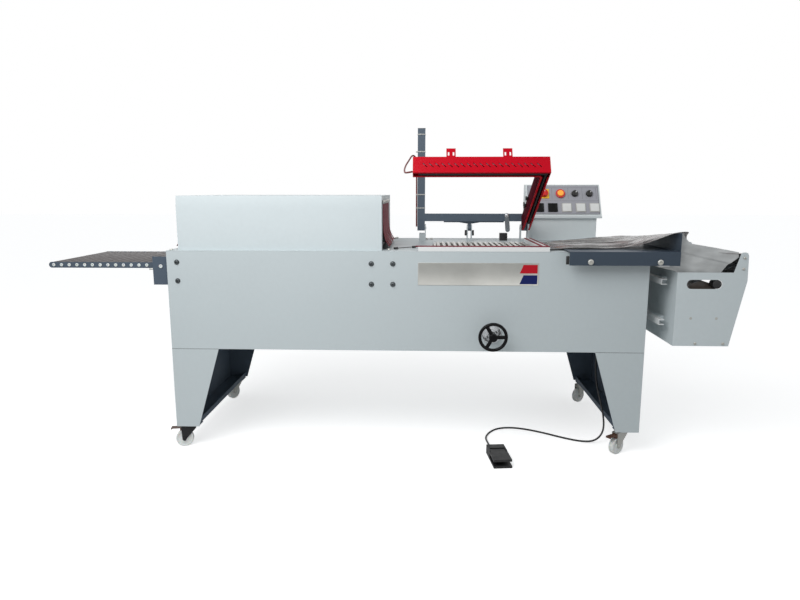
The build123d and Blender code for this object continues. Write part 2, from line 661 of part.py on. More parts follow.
def king_pin(x, y):
    """Caster plate with the pin and head that its fork turns on."""
    half_x = CASTER_PLATE_LENGTH / 2
    half_y = CASTER_PLATE_WIDTH / 2
    plate_z = LEG_FOOT_Z - CASTER_PLATE
    head_top = FORK_CROWN_Z - SLIDE_GAP
    plate = block(x - half_x, x + half_x, y - half_y, y + half_y, plate_z, LEG_FOOT_Z)
    pin = rod_z(KING_PIN_RADIUS, head_top, plate_z, x, y)
    head = rod_z(KING_PIN_HEAD_RADIUS, head_top - KING_PIN_HEAD, head_top, x, y)
    return plate + pin + head


def caster_place(name):
    """Where a caster's king pin stands, and the way its wheel trails."""
    side = -1 if name.endswith("left") else 1
    y = CASTER_FRONT_Y if name.startswith("front") else CASTER_REAR_Y
    return Pos(side * CASTER_X, y, 0) * Rot(0, 0, CASTER_TURNS[name])


def caster_fork(has_brake):
    """Fork trailing along +X from its king pin, with the wheel's axle."""
    crown = rod_z(FORK_CROWN_RADIUS, FORK_CROWN_Z, FORK_TOP_Z, 0, 0)
    crown += block(0, BRAKE_PIN_X, -FORK_OUTER, FORK_OUTER, FORK_CROWN_Z, FORK_TOP_Z)
    cheek_outline = (
        (-18, FORK_TOP_Z), (BRAKE_PIN_X + 8, FORK_TOP_Z), (BRAKE_PIN_X + 8, BRAKE_PIN_Z - 6),
        (CASTER_TRAIL + 10, WHEEL_RADIUS - 4), (CASTER_TRAIL + 4, WHEEL_RADIUS - 11),
        (CASTER_TRAIL - 4, WHEEL_RADIUS - 11), (CASTER_TRAIL - 12, WHEEL_RADIUS + 2),
        (-16, FORK_CROWN_Z - 10),
    )
    fork = crown
    for side in (-FORK_OUTER, FORK_INNER):
        fork += prism_y(cheek_outline, side, side + FORK_PLATE)
    fork -= rod_z(KING_PIN_RADIUS + RUNNING, FORK_CROWN_Z - 1, FORK_TOP_Z + 1, 0, 0)
    head_y = FORK_OUTER + AXLE_HEAD
    fork += rod_y(AXLE_RADIUS, -head_y, head_y, CASTER_TRAIL, WHEEL_RADIUS)
    fork += rod_y(AXLE_HEAD_RADIUS, FORK_OUTER, head_y, CASTER_TRAIL, WHEEL_RADIUS)
    fork += rod_y(AXLE_HEAD_RADIUS, -head_y, -FORK_OUTER, CASTER_TRAIL, WHEEL_RADIUS)
    if has_brake:
        fork += rod_y(BRAKE_PIN_RADIUS, -FORK_OUTER, FORK_OUTER, BRAKE_PIN_X, BRAKE_PIN_Z)
    return fork


def caster_wheel():
    """Nylon wheel with dished sides and a wider hub, turned about its axle."""
    half = WHEEL_WIDTH / 2
    dish = half - 3
    bore = AXLE_RADIUS + RUNNING
    hub_half = WHEEL_HUB_WIDTH / 2
    side = (
        (bore, hub_half), (WHEEL_HUB_RADIUS, hub_half), (WHEEL_HUB_RADIUS + 2, dish),
        (WHEEL_RADIUS - 9, dish), (WHEEL_RADIUS - 7, half), (WHEEL_RADIUS - 2, half),
        (WHEEL_RADIUS, half - 3),
    )
    other_side = tuple((radius, -y) for radius, y in reversed(side))
    outline = Polyline(*[(radius, y, 0) for radius, y in side + other_side], close=True)
    wheel = revolve(make_face(outline), axis=Axis.Y)
    return Pos(CASTER_TRAIL, 0, WHEEL_RADIUS) * wheel


def caster_brake():
    """Brake pedal on its pin above the wheel, with a shoe under it."""
    half = FORK_INNER - TOUCH_GAP
    plate_z = BRAKE_PIN_Z + 1
    lever = rod_y(BRAKE_BARREL_RADIUS, -half, half, BRAKE_PIN_X, BRAKE_PIN_Z)
    tip = BRAKE_PIN_X + BRAKE_REACH
    lever += block(BRAKE_PIN_X, tip, -half, half, plate_z, plate_z + BRAKE_PLATE)
    lever += block(
        tip - BRAKE_PLATE, tip, -half, half, plate_z - BRAKE_PLATE, plate_z + BRAKE_PLATE
    )
    shoe_x = BRAKE_PIN_X + BRAKE_BARREL_RADIUS - 1
    lever += block(shoe_x, shoe_x + BRAKE_SHOE, -half, half, plate_z - BRAKE_SHOE_DEPTH, plate_z)
    return lever - rod_y(BRAKE_PIN_RADIUS + RUNNING, -half, half, BRAKE_PIN_X, BRAKE_PIN_Z)


def hood_outline(inset):
    """Cross-section of the tunnel hood, which leans in above its crease."""
    front = HOOD_FRONT_Y + inset
    rear = HOOD_REAR_Y - inset
    top = HOOD_TOP_Z - inset
    return (
        (front, TABLE_Z), (front, HOOD_CREASE_Z), (front + HOOD_LEAN, top),
        (rear - HOOD_LEAN, top), (rear, HOOD_CREASE_Z), (rear, TABLE_Z),
    )


def tunnel_hood():
    """Outer hood with both mouths, and the lining that makes the heated passage."""
    shell = prism_x(hood_outline(0), HOOD_LEFT_X, HOOD_RIGHT_X)
    left = HOOD_LEFT_X + SHEET
    right = HOOD_RIGHT_X - SHEET
    shell -= prism_x(hood_outline(SHEET), left, right)
    shell -= block(
        HOOD_LEFT_X - 1, HOOD_RIGHT_X + 1, PASSAGE_FRONT_Y, PASSAGE_REAR_Y,
        TABLE_Z - 1, PASSAGE_TOP_Z,
    )
    shell -= rod_y(
        BLOWER_SHAFT_RADIUS + 2, HOOD_REAR_Y - 2 * SHEET, HOOD_REAR_Y + 1, BLOWER_X, BLOWER_Z
    )
    front = PASSAGE_FRONT_Y - LINING_MARGIN
    rear = PASSAGE_REAR_Y + LINING_MARGIN
    top = PASSAGE_TOP_Z + LINING_MARGIN / 2
    lining = block(left, right, front, rear, TABLE_Z, top)
    lining -= block(left - 1, right + 1, front + LINING, rear - LINING, TABLE_Z - 1, top - LINING)
    lining -= rod_y(BLOWER_RADIUS - 14, rear - 2 * LINING, rear + LINING, BLOWER_X, BLOWER_Z)
    return shell, lining


def curtain(mouth_x, way):
    """Silicone strip curtain, held above the mouth and bowed outwards at its foot."""
    top = PASSAGE_TOP_Z + CURTAIN_OVERLAP
    foot = BELT_TOP_Z + CURTAIN
    near = mouth_x + way * SOFT_GAP
    drop = top - foot
    inner = (
        (near, top), (near, PASSAGE_TOP_Z), (near + way * CURTAIN_BOW * 0.2, foot + 0.5 * drop),
        (near + way * CURTAIN_BOW * 0.6, foot + 0.2 * drop), (near + way * CURTAIN_BOW, foot),
    )
    outer = tuple((x + way * CURTAIN, z) for x, z in reversed(inner))
    return prism_y(inner + outer, PASSAGE_FRONT_Y, PASSAGE_REAR_Y)


def tunnel_heaters():
    """Three tubular heaters across the air duct behind the passage."""
    left = HOOD_LEFT_X + SHEET
    right = HOOD_RIGHT_X - SHEET
    return [rod_x(HEATER_RADIUS, left, right, HEATER_Y, z) for z in HEATER_HEIGHTS]


def blower_wheel():
    """Centrifugal fan wheel behind the passage, on its motor's shaft."""
    back = HOOD_REAR_Y - BLOWER_WALL_GAP
    front = back - BLOWER_WIDTH
    wheel = rod_y(BLOWER_RADIUS, back - BLOWER_PLATE, back, BLOWER_X, BLOWER_Z)
    ring = rod_y(BLOWER_RADIUS, front, front + BLOWER_PLATE, BLOWER_X, BLOWER_Z)
    wheel += ring - rod_y(
        BLOWER_RADIUS - BLOWER_BLADE_DEPTH, front - 1, back, BLOWER_X, BLOWER_Z
    )
    inner = BLOWER_RADIUS - BLOWER_BLADE_DEPTH
    for index in range(BLOWER_BLADES):
        blade = block(inner + 1, BLOWER_RADIUS - 1, front, back, -BLOWER_PLATE / 2, BLOWER_PLATE / 2)
        turn = index * 360 / BLOWER_BLADES
        wheel += Pos(BLOWER_X, 0, BLOWER_Z) * Rot(0, turn, 0) * blade
    wheel += rod_y(BLOWER_HUB_RADIUS, back - BLOWER_WIDTH / 2, back, BLOWER_X, BLOWER_Z)
    shaft_end = HOOD_REAR_Y + MOTOR_FLANGE + MOTOR_LENGTH / 2
    return wheel + rod_y(BLOWER_SHAFT_RADIUS, back, shaft_end, BLOWER_X, BLOWER_Z)


def blower_motor():
    """Finned motor on the back of the hood."""
    flange_rear = HOOD_REAR_Y + MOTOR_FLANGE
    rear = flange_rear + MOTOR_LENGTH
    motor = rod_y(MOTOR_FLANGE_RADIUS, HOOD_REAR_Y, flange_rear, BLOWER_X, BLOWER_Z)
    motor += rod_y(MOTOR_RADIUS, flange_rear, rear, BLOWER_X, BLOWER_Z)
    pitch = MOTOR_LENGTH / (MOTOR_FINS + 1)
    for index in range(MOTOR_FINS):
        groove_y = flange_rear + (index + 0.75) * pitch
        groove = rod_y(MOTOR_RADIUS + 1, groove_y, groove_y + pitch / 2, BLOWER_X, BLOWER_Z)
        core = rod_y(MOTOR_RADIUS - 6, groove_y - 1, groove_y + pitch, BLOWER_X, BLOWER_Z)
        motor -= groove - core
    bore_end = flange_rear + MOTOR_LENGTH / 2 + 1
    return motor - rod_y(
        BLOWER_SHAFT_RADIUS + RUNNING, HOOD_REAR_Y - 1, bore_end, BLOWER_X, BLOWER_Z
    )


def belt_loop(radius):
    """A loop of the given end radius round the two conveyor rollers."""
    loop = block(
        BELT_LEFT_X, BELT_RIGHT_X, BELT_FRONT_Y, BELT_REAR_Y,
        BELT_AXIS_Z - radius, BELT_AXIS_Z + radius,
    )
    for x in (BELT_LEFT_X, BELT_RIGHT_X):
        loop += rod_y(radius, BELT_FRONT_Y, BELT_REAR_Y, x, BELT_AXIS_Z)
    return loop


def tunnel_belt():
    """Mesh belt of the tunnel as one plain loop."""
    inner = BELT_ROLLER_RADIUS + SOFT_GAP
    return belt_loop(inner + BELT) - belt_loop(inner)


def belt_roller(x):
    """Conveyor roller with shaft ends in the side plates."""
    front = BELT_FRONT_Y - BELT_SIDE_GAP
    rear = BELT_REAR_Y + BELT_SIDE_GAP
    roller = rod_y(BELT_ROLLER_RADIUS, BELT_FRONT_Y + 2, BELT_REAR_Y - 2, x, BELT_AXIS_Z)
    out = BELT_SIDE_PLATE + 2
    return roller + rod_y(BELT_SHAFT_RADIUS, front - out, rear + out, x, BELT_AXIS_Z)


def tray_bracket(front_y, way):
    """Folded bracket on the body's left end; the pivot bolt goes through its face."""
    deep = way * BRACKET_DEPTH
    wall = way * BRACKET
    face_rear = front_y + wall
    far = front_y + deep
    y0, y1 = sorted((front_y, face_rear))
    face = block(BRACKET_OUTER_X, LEFT_X, y0, y1, BRACKET_BOTTOM_Z, BRACKET_TOP_Z)
    y0, y1 = sorted((face_rear, far))
    face += block(LEFT_X - BRACKET, LEFT_X, y0, y1, BRACKET_BOTTOM_Z, BRACKET_TOP_Z)
    y0, y1 = sorted((face_rear, far + way * TRAY_RAIL))
    face += rod_y(TRAY_PIVOT_RADIUS, y0, y1, TRAY_PIVOT_X, TRAY_PIVOT_Z)
    return face


def tray_brackets():
    """Both brackets, joined by the rod that the tray rests on."""
    front = TRAY_FRONT_Y - BRACKET_DEPTH
    rear = TRAY_REAR_Y + BRACKET_DEPTH
    stop_z = TRAY_RAIL_Z - SLIDE_GAP - TRAY_STOP_RADIUS
    pair = tray_bracket(front, 1) + tray_bracket(rear, -1)
    return pair + rod_y(TRAY_STOP_RADIUS, front + BRACKET, rear - BRACKET, TRAY_STOP_X, stop_z)


def tray_rail(y0):
    """One side rail of the exit tray, with a round tip and its axle and pivot holes."""
    y1 = y0 + TRAY_RAIL
    half = TRAY_RAIL_HEIGHT / 2
    middle_z = TRAY_RAIL_Z + half
    rail = block(TRAY_TIP_X + half, TRAY_ROOT_X, y0, y1, TRAY_RAIL_Z, TRAY_RAIL_Z + TRAY_RAIL_HEIGHT)
    rail += rod_y(half, y0, y1, TRAY_TIP_X + half, middle_z)
    for index in range(TRAY_ROLLERS):
        x = TRAY_FIRST_X + index * TRAY_PITCH
        rail -= rod_y(TRAY_AXLE_RADIUS + RUNNING, y0 - 1, y1 + 1, x, TRAY_ROLLER_Z)
    return rail - rod_y(TRAY_PIVOT_RADIUS + RUNNING, y0 - 1, y1 + 1, TRAY_PIVOT_X, TRAY_PIVOT_Z)


def exit_tray_frame():
    """The two rails of the fold-up exit tray and the flat bar that ties them."""
    rear_rail_y = TRAY_REAR_Y - TRAY_RAIL
    tie_x = TRAY_FIRST_X + (TRAY_ROLLERS - 1) * TRAY_PITCH + 2 * TRAY_ROLLER_RADIUS
    tie = block(
        tie_x - TRAY_RAIL, tie_x + TRAY_RAIL, TRAY_FRONT_Y + TRAY_RAIL, rear_rail_y,
        TRAY_RAIL_Z + TRAY_RAIL, TRAY_RAIL_Z + TRAY_RAIL_HEIGHT - TRAY_RAIL,
    )
    return tray_rail(TRAY_FRONT_Y) + tray_rail(rear_rail_y) + tie


def exit_roller(x):
    """Exit roller with its axle through both rails and a bolt head at each end."""
    front = TRAY_FRONT_Y + TRAY_RAIL
    rear = TRAY_REAR_Y - TRAY_RAIL
    roller = rod_y(TRAY_ROLLER_RADIUS, front + TOUCH_GAP, rear - TOUCH_GAP, x, TRAY_ROLLER_Z)
    roller += rod_y(TRAY_AXLE_RADIUS, TRAY_FRONT_Y, TRAY_REAR_Y, x, TRAY_ROLLER_Z)
    bolt = extrude(RegularPolygon(TRAY_BOLT_RADIUS, 6), amount=TRAY_BOLT)
    roller += Pos(x, TRAY_FRONT_Y, TRAY_ROLLER_Z) * Rot(90, 0, 0) * bolt
    return roller + Pos(x, TRAY_REAR_Y + TRAY_BOLT, TRAY_ROLLER_Z) * Rot(90, 0, 0) * bolt


def lower_jaw():
    """Front and right-hand bars of the lower jaw, with a rib along the right one."""
    arm_x = JAW_RIGHT_X - JAW_ARM_WIDTH
    front_rear = BODY_FRONT_Y + JAW_WIDTH
    jaw = block(JAW_LEFT_X, JAW_RIGHT_X, BODY_FRONT_Y, front_rear, TABLE_Z, JAW_TOP_Z)
    jaw += block(arm_x, JAW_RIGHT_X, front_rear, JAW_REAR_Y, TABLE_Z, JAW_TOP_Z)
    middle = JAW_RIGHT_X - JAW_ARM_WIDTH / 2
    return jaw + block(
        middle - JAW_RIB / 2, middle + JAW_RIB / 2, front_rear, JAW_REAR_Y,
        JAW_TOP_Z, PAD_TOP_Z - JAW_RIB_DROP,
    )


def lower_jaw_pads():
    """Silicone strips: one along the front bar, two along the right-hand bar."""
    front_rear = BODY_FRONT_Y + JAW_WIDTH - PAD_INSET
    pads = block(
        JAW_LEFT_X - PAD_LEFT_OVERHANG, JAW_RIGHT_X, BODY_FRONT_Y + PAD_INSET, front_rear,
        JAW_TOP_Z, PAD_TOP_Z,
    )
    arm_x = JAW_RIGHT_X - JAW_ARM_WIDTH
    for x in (arm_x, JAW_RIGHT_X - PAD_EDGE):
        pads += block(x, x + PAD_EDGE, front_rear, JAW_REAR_Y, JAW_TOP_Z, PAD_TOP_Z)
    return pads


def lift_bed():
    """Slatted bed inside the L, on a beam and the column that the handwheel lifts."""
    frame_top = BED_FRAME_Z + BED_FRAME_HEIGHT
    bed = block(BED_LEFT_X, BED_RIGHT_X, BED_FRONT_Y, BED_REAR_Y, BED_FRAME_Z, frame_top)
    bed -= block(
        BED_LEFT_X + BED_FRAME_WALL, BED_RIGHT_X - BED_FRAME_WALL,
        BED_FRONT_Y + BED_FRAME_WALL, BED_REAR_Y - BED_FRAME_WALL,
        BED_FRAME_Z - 1, frame_top + 1,
    )
    half = BED_FRAME_WALL / 2
    slat_z = BED_TOP_Z - SLAT_THICK
    for index in range(SLAT_COUNT):
        x = SLAT_FIRST_X + index * SLAT_PITCH
        bed += block(
            x - SLAT_WIDTH / 2, x + SLAT_WIDTH / 2, BED_FRONT_Y + half, BED_REAR_Y - half,
            slat_z, BED_TOP_Z,
        )
    bed += block(
        BED_LEFT_X + half, BED_RIGHT_X - half, LIFT_Y - LIFT_BEAM / 2, LIFT_Y + LIFT_BEAM / 2,
        BED_FRAME_Z, slat_z,
    )
    column_foot = BED_FRAME_Z - COLUMN_LENGTH
    return bed + rod_z(COLUMN_RADIUS, column_foot, BED_FRAME_Z, WHEEL_X, LIFT_Y)


def lift_gearbox():
    """Bevel box on the pan with the column's guide tube, and the bearing in the panel."""
    half = GEARBOX / 2
    foot = GEARBOX_FOOT / 2
    box_front = LIFT_Y - GEARBOX_DEPTH / 2
    top = WHEEL_Z + half
    box = block(
        WHEEL_X - half, WHEEL_X + half, box_front, LIFT_Y + GEARBOX_DEPTH / 2, WHEEL_Z - half, top
    )
    box += block(
        WHEEL_X - foot, WHEEL_X + foot, LIFT_Y - foot, LIFT_Y + foot, PAN_TOP_Z, WHEEL_Z - half
    )
    box += rod_z(COLUMN_RADIUS + GUIDE_WALL, top, GUIDE_TOP_Z, WHEEL_X, LIFT_Y)
    box -= rod_z(COLUMN_RADIUS + RUNNING, top, GUIDE_TOP_Z + 1, WHEEL_X, LIFT_Y)
    shaft_bore = HANDWHEEL_SHAFT_RADIUS + RUNNING
    box -= rod_y(shaft_bore, box_front - 1, LIFT_Y, WHEEL_X, WHEEL_Z)
    nose = BODY_FRONT_Y - BOSS_NOSE
    boss = rod_y(BOSS_RADIUS, nose, BODY_FRONT_Y + SHEET + BOSS_FLANGE, WHEEL_X, WHEEL_Z)
    boss += rod_y(
        BOSS_FLANGE_RADIUS, BODY_FRONT_Y - BOSS_FLANGE, BODY_FRONT_Y, WHEEL_X, WHEEL_Z
    )
    boss -= rod_y(shaft_bore, nose - 1, BODY_FRONT_Y + PANEL_FLANGE, WHEEL_X, WHEEL_Z)
    return box, boss


def handwheel():
    """Three-spoke handwheel on the shaft that drives the lift."""
    wheel = Rot(90, 0, 0) * Torus(HANDWHEEL_RADIUS, HANDWHEEL_RIM)
    wheel += rod_y(HANDWHEEL_HUB_RADIUS, -HANDWHEEL_HUB_FRONT, HANDWHEEL_HUB_BACK, 0, 0)
    for index in range(HANDWHEEL_SPOKES):
        spoke = rod_z(HANDWHEEL_SPOKE, 0, HANDWHEEL_RADIUS, 0, 0)
        wheel += Rot(0, index * 360 / HANDWHEEL_SPOKES, 0) * spoke
    shaft_rear = LIFT_Y - TOUCH_GAP - HANDWHEEL_Y
    wheel += rod_y(HANDWHEEL_SHAFT_RADIUS, HANDWHEEL_HUB_BACK, shaft_rear, 0, 0)
    return Pos(WHEEL_X, HANDWHEEL_Y, WHEEL_Z) * Rot(0, HANDWHEEL_TURN, 0) * wheel


def opened(part):
    """Turn a piece of the closed head up to the rest pose."""
    return Pos(0, HINGE_Y, HINGE_Z) * Rot(-HEAD_OPEN, 0, 0) * Pos(0, -HINGE_Y, -HINGE_Z) * part


def channel(outer_near, outer_far):
    """Outline of the cover's box section, open below between two lips."""
    top = COVER_BOTTOM_Z + COVER_HEIGHT
    bottom = COVER_BOTTOM_Z
    return (
        (outer_near + COVER_LIP, bottom), (outer_near, bottom), (outer_near, top),
        (outer_far, top), (outer_far, bottom), (outer_far - COVER_LIP, bottom),
        (outer_far - COVER_LIP, bottom + COVER), (outer_far - COVER, bottom + COVER),
        (outer_far - COVER, top - COVER), (outer_near + COVER, top - COVER),
        (outer_near + COVER, bottom + COVER), (outer_near + COVER_LIP, bottom + COVER),
    )


def louvres():
    """Cutters for the slanting slots in the front of the cover."""
    cutters = []
    for index in range(LOUVRES):
        slot = Box(LOUVRE_LENGTH, 4 * COVER, LOUVRE_WIDTH)
        place = Pos(LOUVRE_FIRST_X + index * LOUVRE_PITCH, COVER_FRONT_Y, LOUVRE_Z)
        cutters.append(place * Rot(0, LOUVRE_TILT, 0) * slot)
    return cutters


def cover_ear(x):
    """Slotted ear on top of the cover."""
    y0 = COVER_FRONT_Y + EAR_SETBACK
    z0 = COVER_BOTTOM_Z + COVER_HEIGHT
    ear = block(x - EAR_WIDTH / 2, x + EAR_WIDTH / 2, y0, y0 + EAR, z0, z0 + EAR_HEIGHT)
    for side in (-1, 1):
        slot_x = x + side * EAR_SLOT_SPREAD
        half = EAR_SLOT_HEIGHT / 2
        middle_z = z0 + EAR_HEIGHT / 2
        ear -= block(
            slot_x - EAR_SLOT_WIDTH / 2, slot_x + EAR_SLOT_WIDTH / 2, y0 - 1, y0 + EAR + 1,
            middle_z - half, middle_z + half,
        )
    return ear


def head_cover():
    """Folded red cover over the front bar and the right-hand arm of the head."""
    front_rear = COVER_FRONT_Y + COVER_DEPTH
    top = COVER_BOTTOM_Z + COVER_HEIGHT
    cover = prism_x(channel(COVER_FRONT_Y, front_rear), COVER_LEFT_X, COVER_RIGHT_X)
    for x in (COVER_LEFT_X, COVER_RIGHT_X - COVER):
        cover += block(x, x + COVER, COVER_FRONT_Y, front_rear, COVER_BOTTOM_Z, top)
    arm_left = COVER_RIGHT_X - COVER_ARM_WIDTH
    cover += prism_y(channel(arm_left, COVER_RIGHT_X), front_rear, COVER_ARM_REAR_Y)
    cover -= block(
        arm_left + COVER, COVER_RIGHT_X - COVER, front_rear - COVER_LIP, front_rear,
        COVER_BOTTOM_Z, top - COVER,
    )
    for cutter in louvres():
        cover -= cutter
    for x in EAR_CENTRES_X:
        cover += cover_ear(x)
    return opened(cover)


def bar_outline(middle):
    """Section of the upper seal bar, tapering to its nose."""
    half = SEAL_BAR_WIDTH / 2
    nose = SEAL_BAR_NOSE / 2
    return (
        (middle - half, HEAD_TUBE_Z), (middle - half, SEAL_BAR_Z + SEAL_BAR_TAPER),
        (middle - nose, SEAL_BAR_Z), (middle + nose, SEAL_BAR_Z),
        (middle + half, SEAL_BAR_Z + SEAL_BAR_TAPER), (middle + half, HEAD_TUBE_Z),
    )


def upper_seal_bar():
    """L-shaped bar that carries the sealing wire."""
    front_y = BODY_FRONT_Y + JAW_WIDTH / 2
    bar = prism_x(bar_outline(front_y), JAW_LEFT_X, ARM_CENTRE_X + SEAL_BAR_WIDTH / 2)
    return opened(bar + prism_y(bar_outline(ARM_CENTRE_X), front_y, SEAL_BAR_REAR_Y))


def gusset():
    """Gusset under the beam that narrows to the middle hinge lug."""
    half = LUG_WIDTH / 2
    strip_z = BEAM_Z - STRIP
    outline = (
        (GUSSET_X - GUSSET_TOP_HALF, strip_z), (GUSSET_X - half, strip_z - GUSSET_SWELL),
        (GUSSET_X - half, HINGE_Z), (GUSSET_X + half, HINGE_Z),
        (GUSSET_X + half, strip_z - GUSSET_SWELL), (GUSSET_X + GUSSET_TOP_HALF, strip_z),
    )
    y0 = HINGE_Y - GUSSET_DEPTH / 2
    plate = prism_y(outline, y0, y0 + GUSSET_DEPTH)
    return plate + rod_x(LUG_RADIUS, GUSSET_X - half, GUSSET_X + half, HINGE_Y, HINGE_Z)


def head_frame():
    """Mast, beam, strip, gusset and pivots upright; front bar and arm turned up."""
    y0 = HINGE_Y - BEAM / 2
    y1 = HINGE_Y + BEAM / 2
    tube_left = ARM_CENTRE_X - HEAD_TUBE_WIDTH / 2
    tube_right = ARM_CENTRE_X + HEAD_TUBE_WIDTH / 2
    beam_top = BEAM_Z + BEAM
    frame = block(MAST_X, MAST_RIGHT_X, y0, y1, MAST_BOTTOM_Z, MAST_TOP_Z)
    frame -= block(
        MAST_X + MAST_WALL, MAST_RIGHT_X - MAST_WALL, y0 + MAST_WALL, y1 - MAST_WALL,
        beam_top, MAST_TOP_Z + 1,
    )
    frame += block(MAST_RIGHT_X, tube_left, y0, y1, BEAM_Z, beam_top)
    frame += block(
        STRIP_LEFT_X, STRIP_RIGHT_X, y0 + STRIP, y1 - STRIP, BEAM_Z - STRIP, BEAM_Z
    )
    frame += gusset()
    frame += block(tube_left, tube_right, y0 + MAST_WALL, y1 - MAST_WALL, MAST_BOTTOM_Z, beam_top)
    front_y = BODY_FRONT_Y + JAW_WIDTH / 2
    bar_y0 = front_y - HEAD_BAR_DEPTH / 2
    bar_y1 = front_y + HEAD_BAR_DEPTH / 2
    arms = block(
        COVER_LEFT_X + 2 * COVER, tube_right, bar_y0, bar_y1, HEAD_TUBE_Z, HEAD_TUBE_TOP_Z
    )
    arms += block(tube_left, tube_right, bar_y1, HINGE_Y, HEAD_TUBE_Z, HEAD_TUBE_TOP_Z)
    frame += opened(arms)
    ends = (
        (MAST_X, MAST_RIGHT_X + TOUCH_GAP + POST + 2),
        (GUSSET_X - LUG_WIDTH / 2 - TOUCH_GAP - POST, GUSSET_X + LUG_WIDTH / 2 + TOUCH_GAP + POST),
        (tube_left - BRACKET_EAR_GAP - POST, tube_right + BRACKET_EAR_GAP + POST),
    )
    for x0, x1 in ends:
        frame += rod_x(PIVOT_RADIUS, x0, x1, HINGE_Y, HINGE_Z)
    return frame


def post_ear(x0, foot_z):
    """One ear of a hinge post, round over the pivot."""
    y0 = HINGE_Y - POST_DEPTH / 2
    ear = block(x0, x0 + POST, y0, y0 + POST_DEPTH, foot_z, HINGE_Z)
    ear += rod_x(POST_DEPTH / 2, x0, x0 + POST, HINGE_Y, HINGE_Z)
    return ear - rod_x(PIVOT_RADIUS + RUNNING, x0 - 1, x0 + POST + 1, HINGE_Y, HINGE_Z)


def hinge_posts():
    """Left post, middle clevis and right-hand bracket that carry the head's hinge."""
    y0 = HINGE_Y - POST_DEPTH / 2
    y1 = HINGE_Y + POST_DEPTH / 2
    left_ear = MAST_RIGHT_X + TOUCH_GAP
    left = block(POST_LEFT_FOOT_X, left_ear + POST, y0, y1, TABLE_Z, POST_FOOT_Z)
    left += post_ear(left_ear, TABLE_Z)
    reach = LUG_WIDTH / 2 + TOUCH_GAP
    middle = post_ear(GUSSET_X - reach - POST, TABLE_Z) + post_ear(GUSSET_X + reach, TABLE_Z)
    middle += block(GUSSET_X - reach, GUSSET_X + reach, y0, y1, TABLE_Z, TABLE_Z + 2 * POST)
    tube_half = HEAD_TUBE_WIDTH / 2 + BRACKET_EAR_GAP
    right = post_ear(ARM_CENTRE_X - tube_half - POST, TABLE_Z)
    right += post_ear(ARM_CENTRE_X + tube_half, TABLE_Z)
    right += block(
        ARM_CENTRE_X - tube_half, ARM_CENTRE_X + tube_half, y0, y1, TABLE_Z, TABLE_Z + POST
    )
    return left, middle, right, wing_knob(-1), wing_knob(1)


def wing_knob(side):
    """Lobed knob on the stud that clamps the middle clevis."""
    near = GUSSET_X + side * (LUG_WIDTH / 2 + TOUCH_GAP + POST)
    far = near + side * KNOB_THICK
    x0, x1 = sorted((near, far))
    knob = rod_x(KNOB_RADIUS * 0.7, x0, x1, HINGE_Y, KNOB_Z)
    for index in range(KNOB_LOBES):
        turn = math.radians(90 + index * 360 / KNOB_LOBES)
        lobe_y = HINGE_Y + KNOB_RADIUS * math.cos(turn)
        lobe_z = KNOB_Z + KNOB_RADIUS * math.sin(turn)
        knob += rod_x(KNOB_STUD_RADIUS, x0, x1, lobe_y, lobe_z)
    return knob


def cam_lever():
    """Lever bolted on the front of the beam, which trips the limit switch."""
    front = HINGE_Y - BEAM / 2 - CAM
    half = CAM_WIDTH / 2
    middle_z = (CAM_BOTTOM_Z + CAM_TOP_Z) / 2
    reach = (CAM_TOP_Z - CAM_BOTTOM_Z) / 2 - half
    lever = block(-half, half, front, front + CAM, -reach, reach)
    lever += rod_y(half, front, front + CAM, 0, reach) + rod_y(half, front, front + CAM, 0, -reach)
    return Pos(CAM_X, 0, middle_z) * Rot(0, -CAM_TILT, 0) * lever


def limit_switch():
    """Switch box behind the lever's path, with its feeler arm."""
    right_x = SWITCH_LEFT_X + SWITCH_WIDTH
    rear_y = SWITCH_FRONT_Y + SWITCH_DEPTH
    top = TABLE_Z + SWITCH_HEIGHT
    box = block(SWITCH_LEFT_X, right_x, SWITCH_FRONT_Y, rear_y, TABLE_Z, top)
    middle_z = TABLE_Z + SWITCH_HEIGHT / 2
    arm = block(
        right_x - SWITCH_ARM, right_x, SWITCH_FRONT_Y - SWITCH_ARM, SWITCH_FRONT_Y,
        middle_z - 2, middle_z + 2,
    )
    return box + arm


def bend_radii(points, share):
    """Largest tangent arcs that the runs on both sides of each corner allow."""
    radii = []
    for before, corner, after in zip(points, points[1:], points[2:]):
        run_in = Vector(*corner) - Vector(*before)
        run_out = Vector(*after) - Vector(*corner)
        half_turn = math.radians(run_in.get_angle(run_out)) / 2
        radii.append(share * min(run_in.length, run_out.length) / math.tan(half_turn))
    return radii


def cable_points():
    """Places of the mast cable, turned up with the open head."""
    closed = [(STATION_X + x, y, z) for x, y, z in CABLE_AT_MAST]
    y0 = COVER_FRONT_Y - HINGE_Y
    z0 = COVER_BOTTOM_Z - HINGE_Z
    closed += [(STATION_X + x, y + y0, z + z0) for x, y, z in CABLE_AT_COVER]
    turn = math.radians(HEAD_OPEN)
    return [
        (
            x,
            round(HINGE_Y + y * math.cos(turn) + z * math.sin(turn), 3),
            round(HINGE_Z - y * math.sin(turn) + z * math.cos(turn), 3),
        )
        for x, y, z in closed
    ]


def tube_along(name, points, radius):
    """A round tube on straight runs joined by tangent arcs."""
    radii = bend_radii(points, CORD_BEND)
    path = FilletPolyline(*points, radius=radii)
    start = Plane(origin=path @ 0, z_dir=path % 0)
    tube = sweep(start * Circle(radius), path=path)
    print(name, "length", round(path.length, 1), "tightest radius", round(min(radii), 1))
    print(name, "volume ratio", round(tube.volume / (math.pi * radius ** 2 * path.length), 4))
    return tube


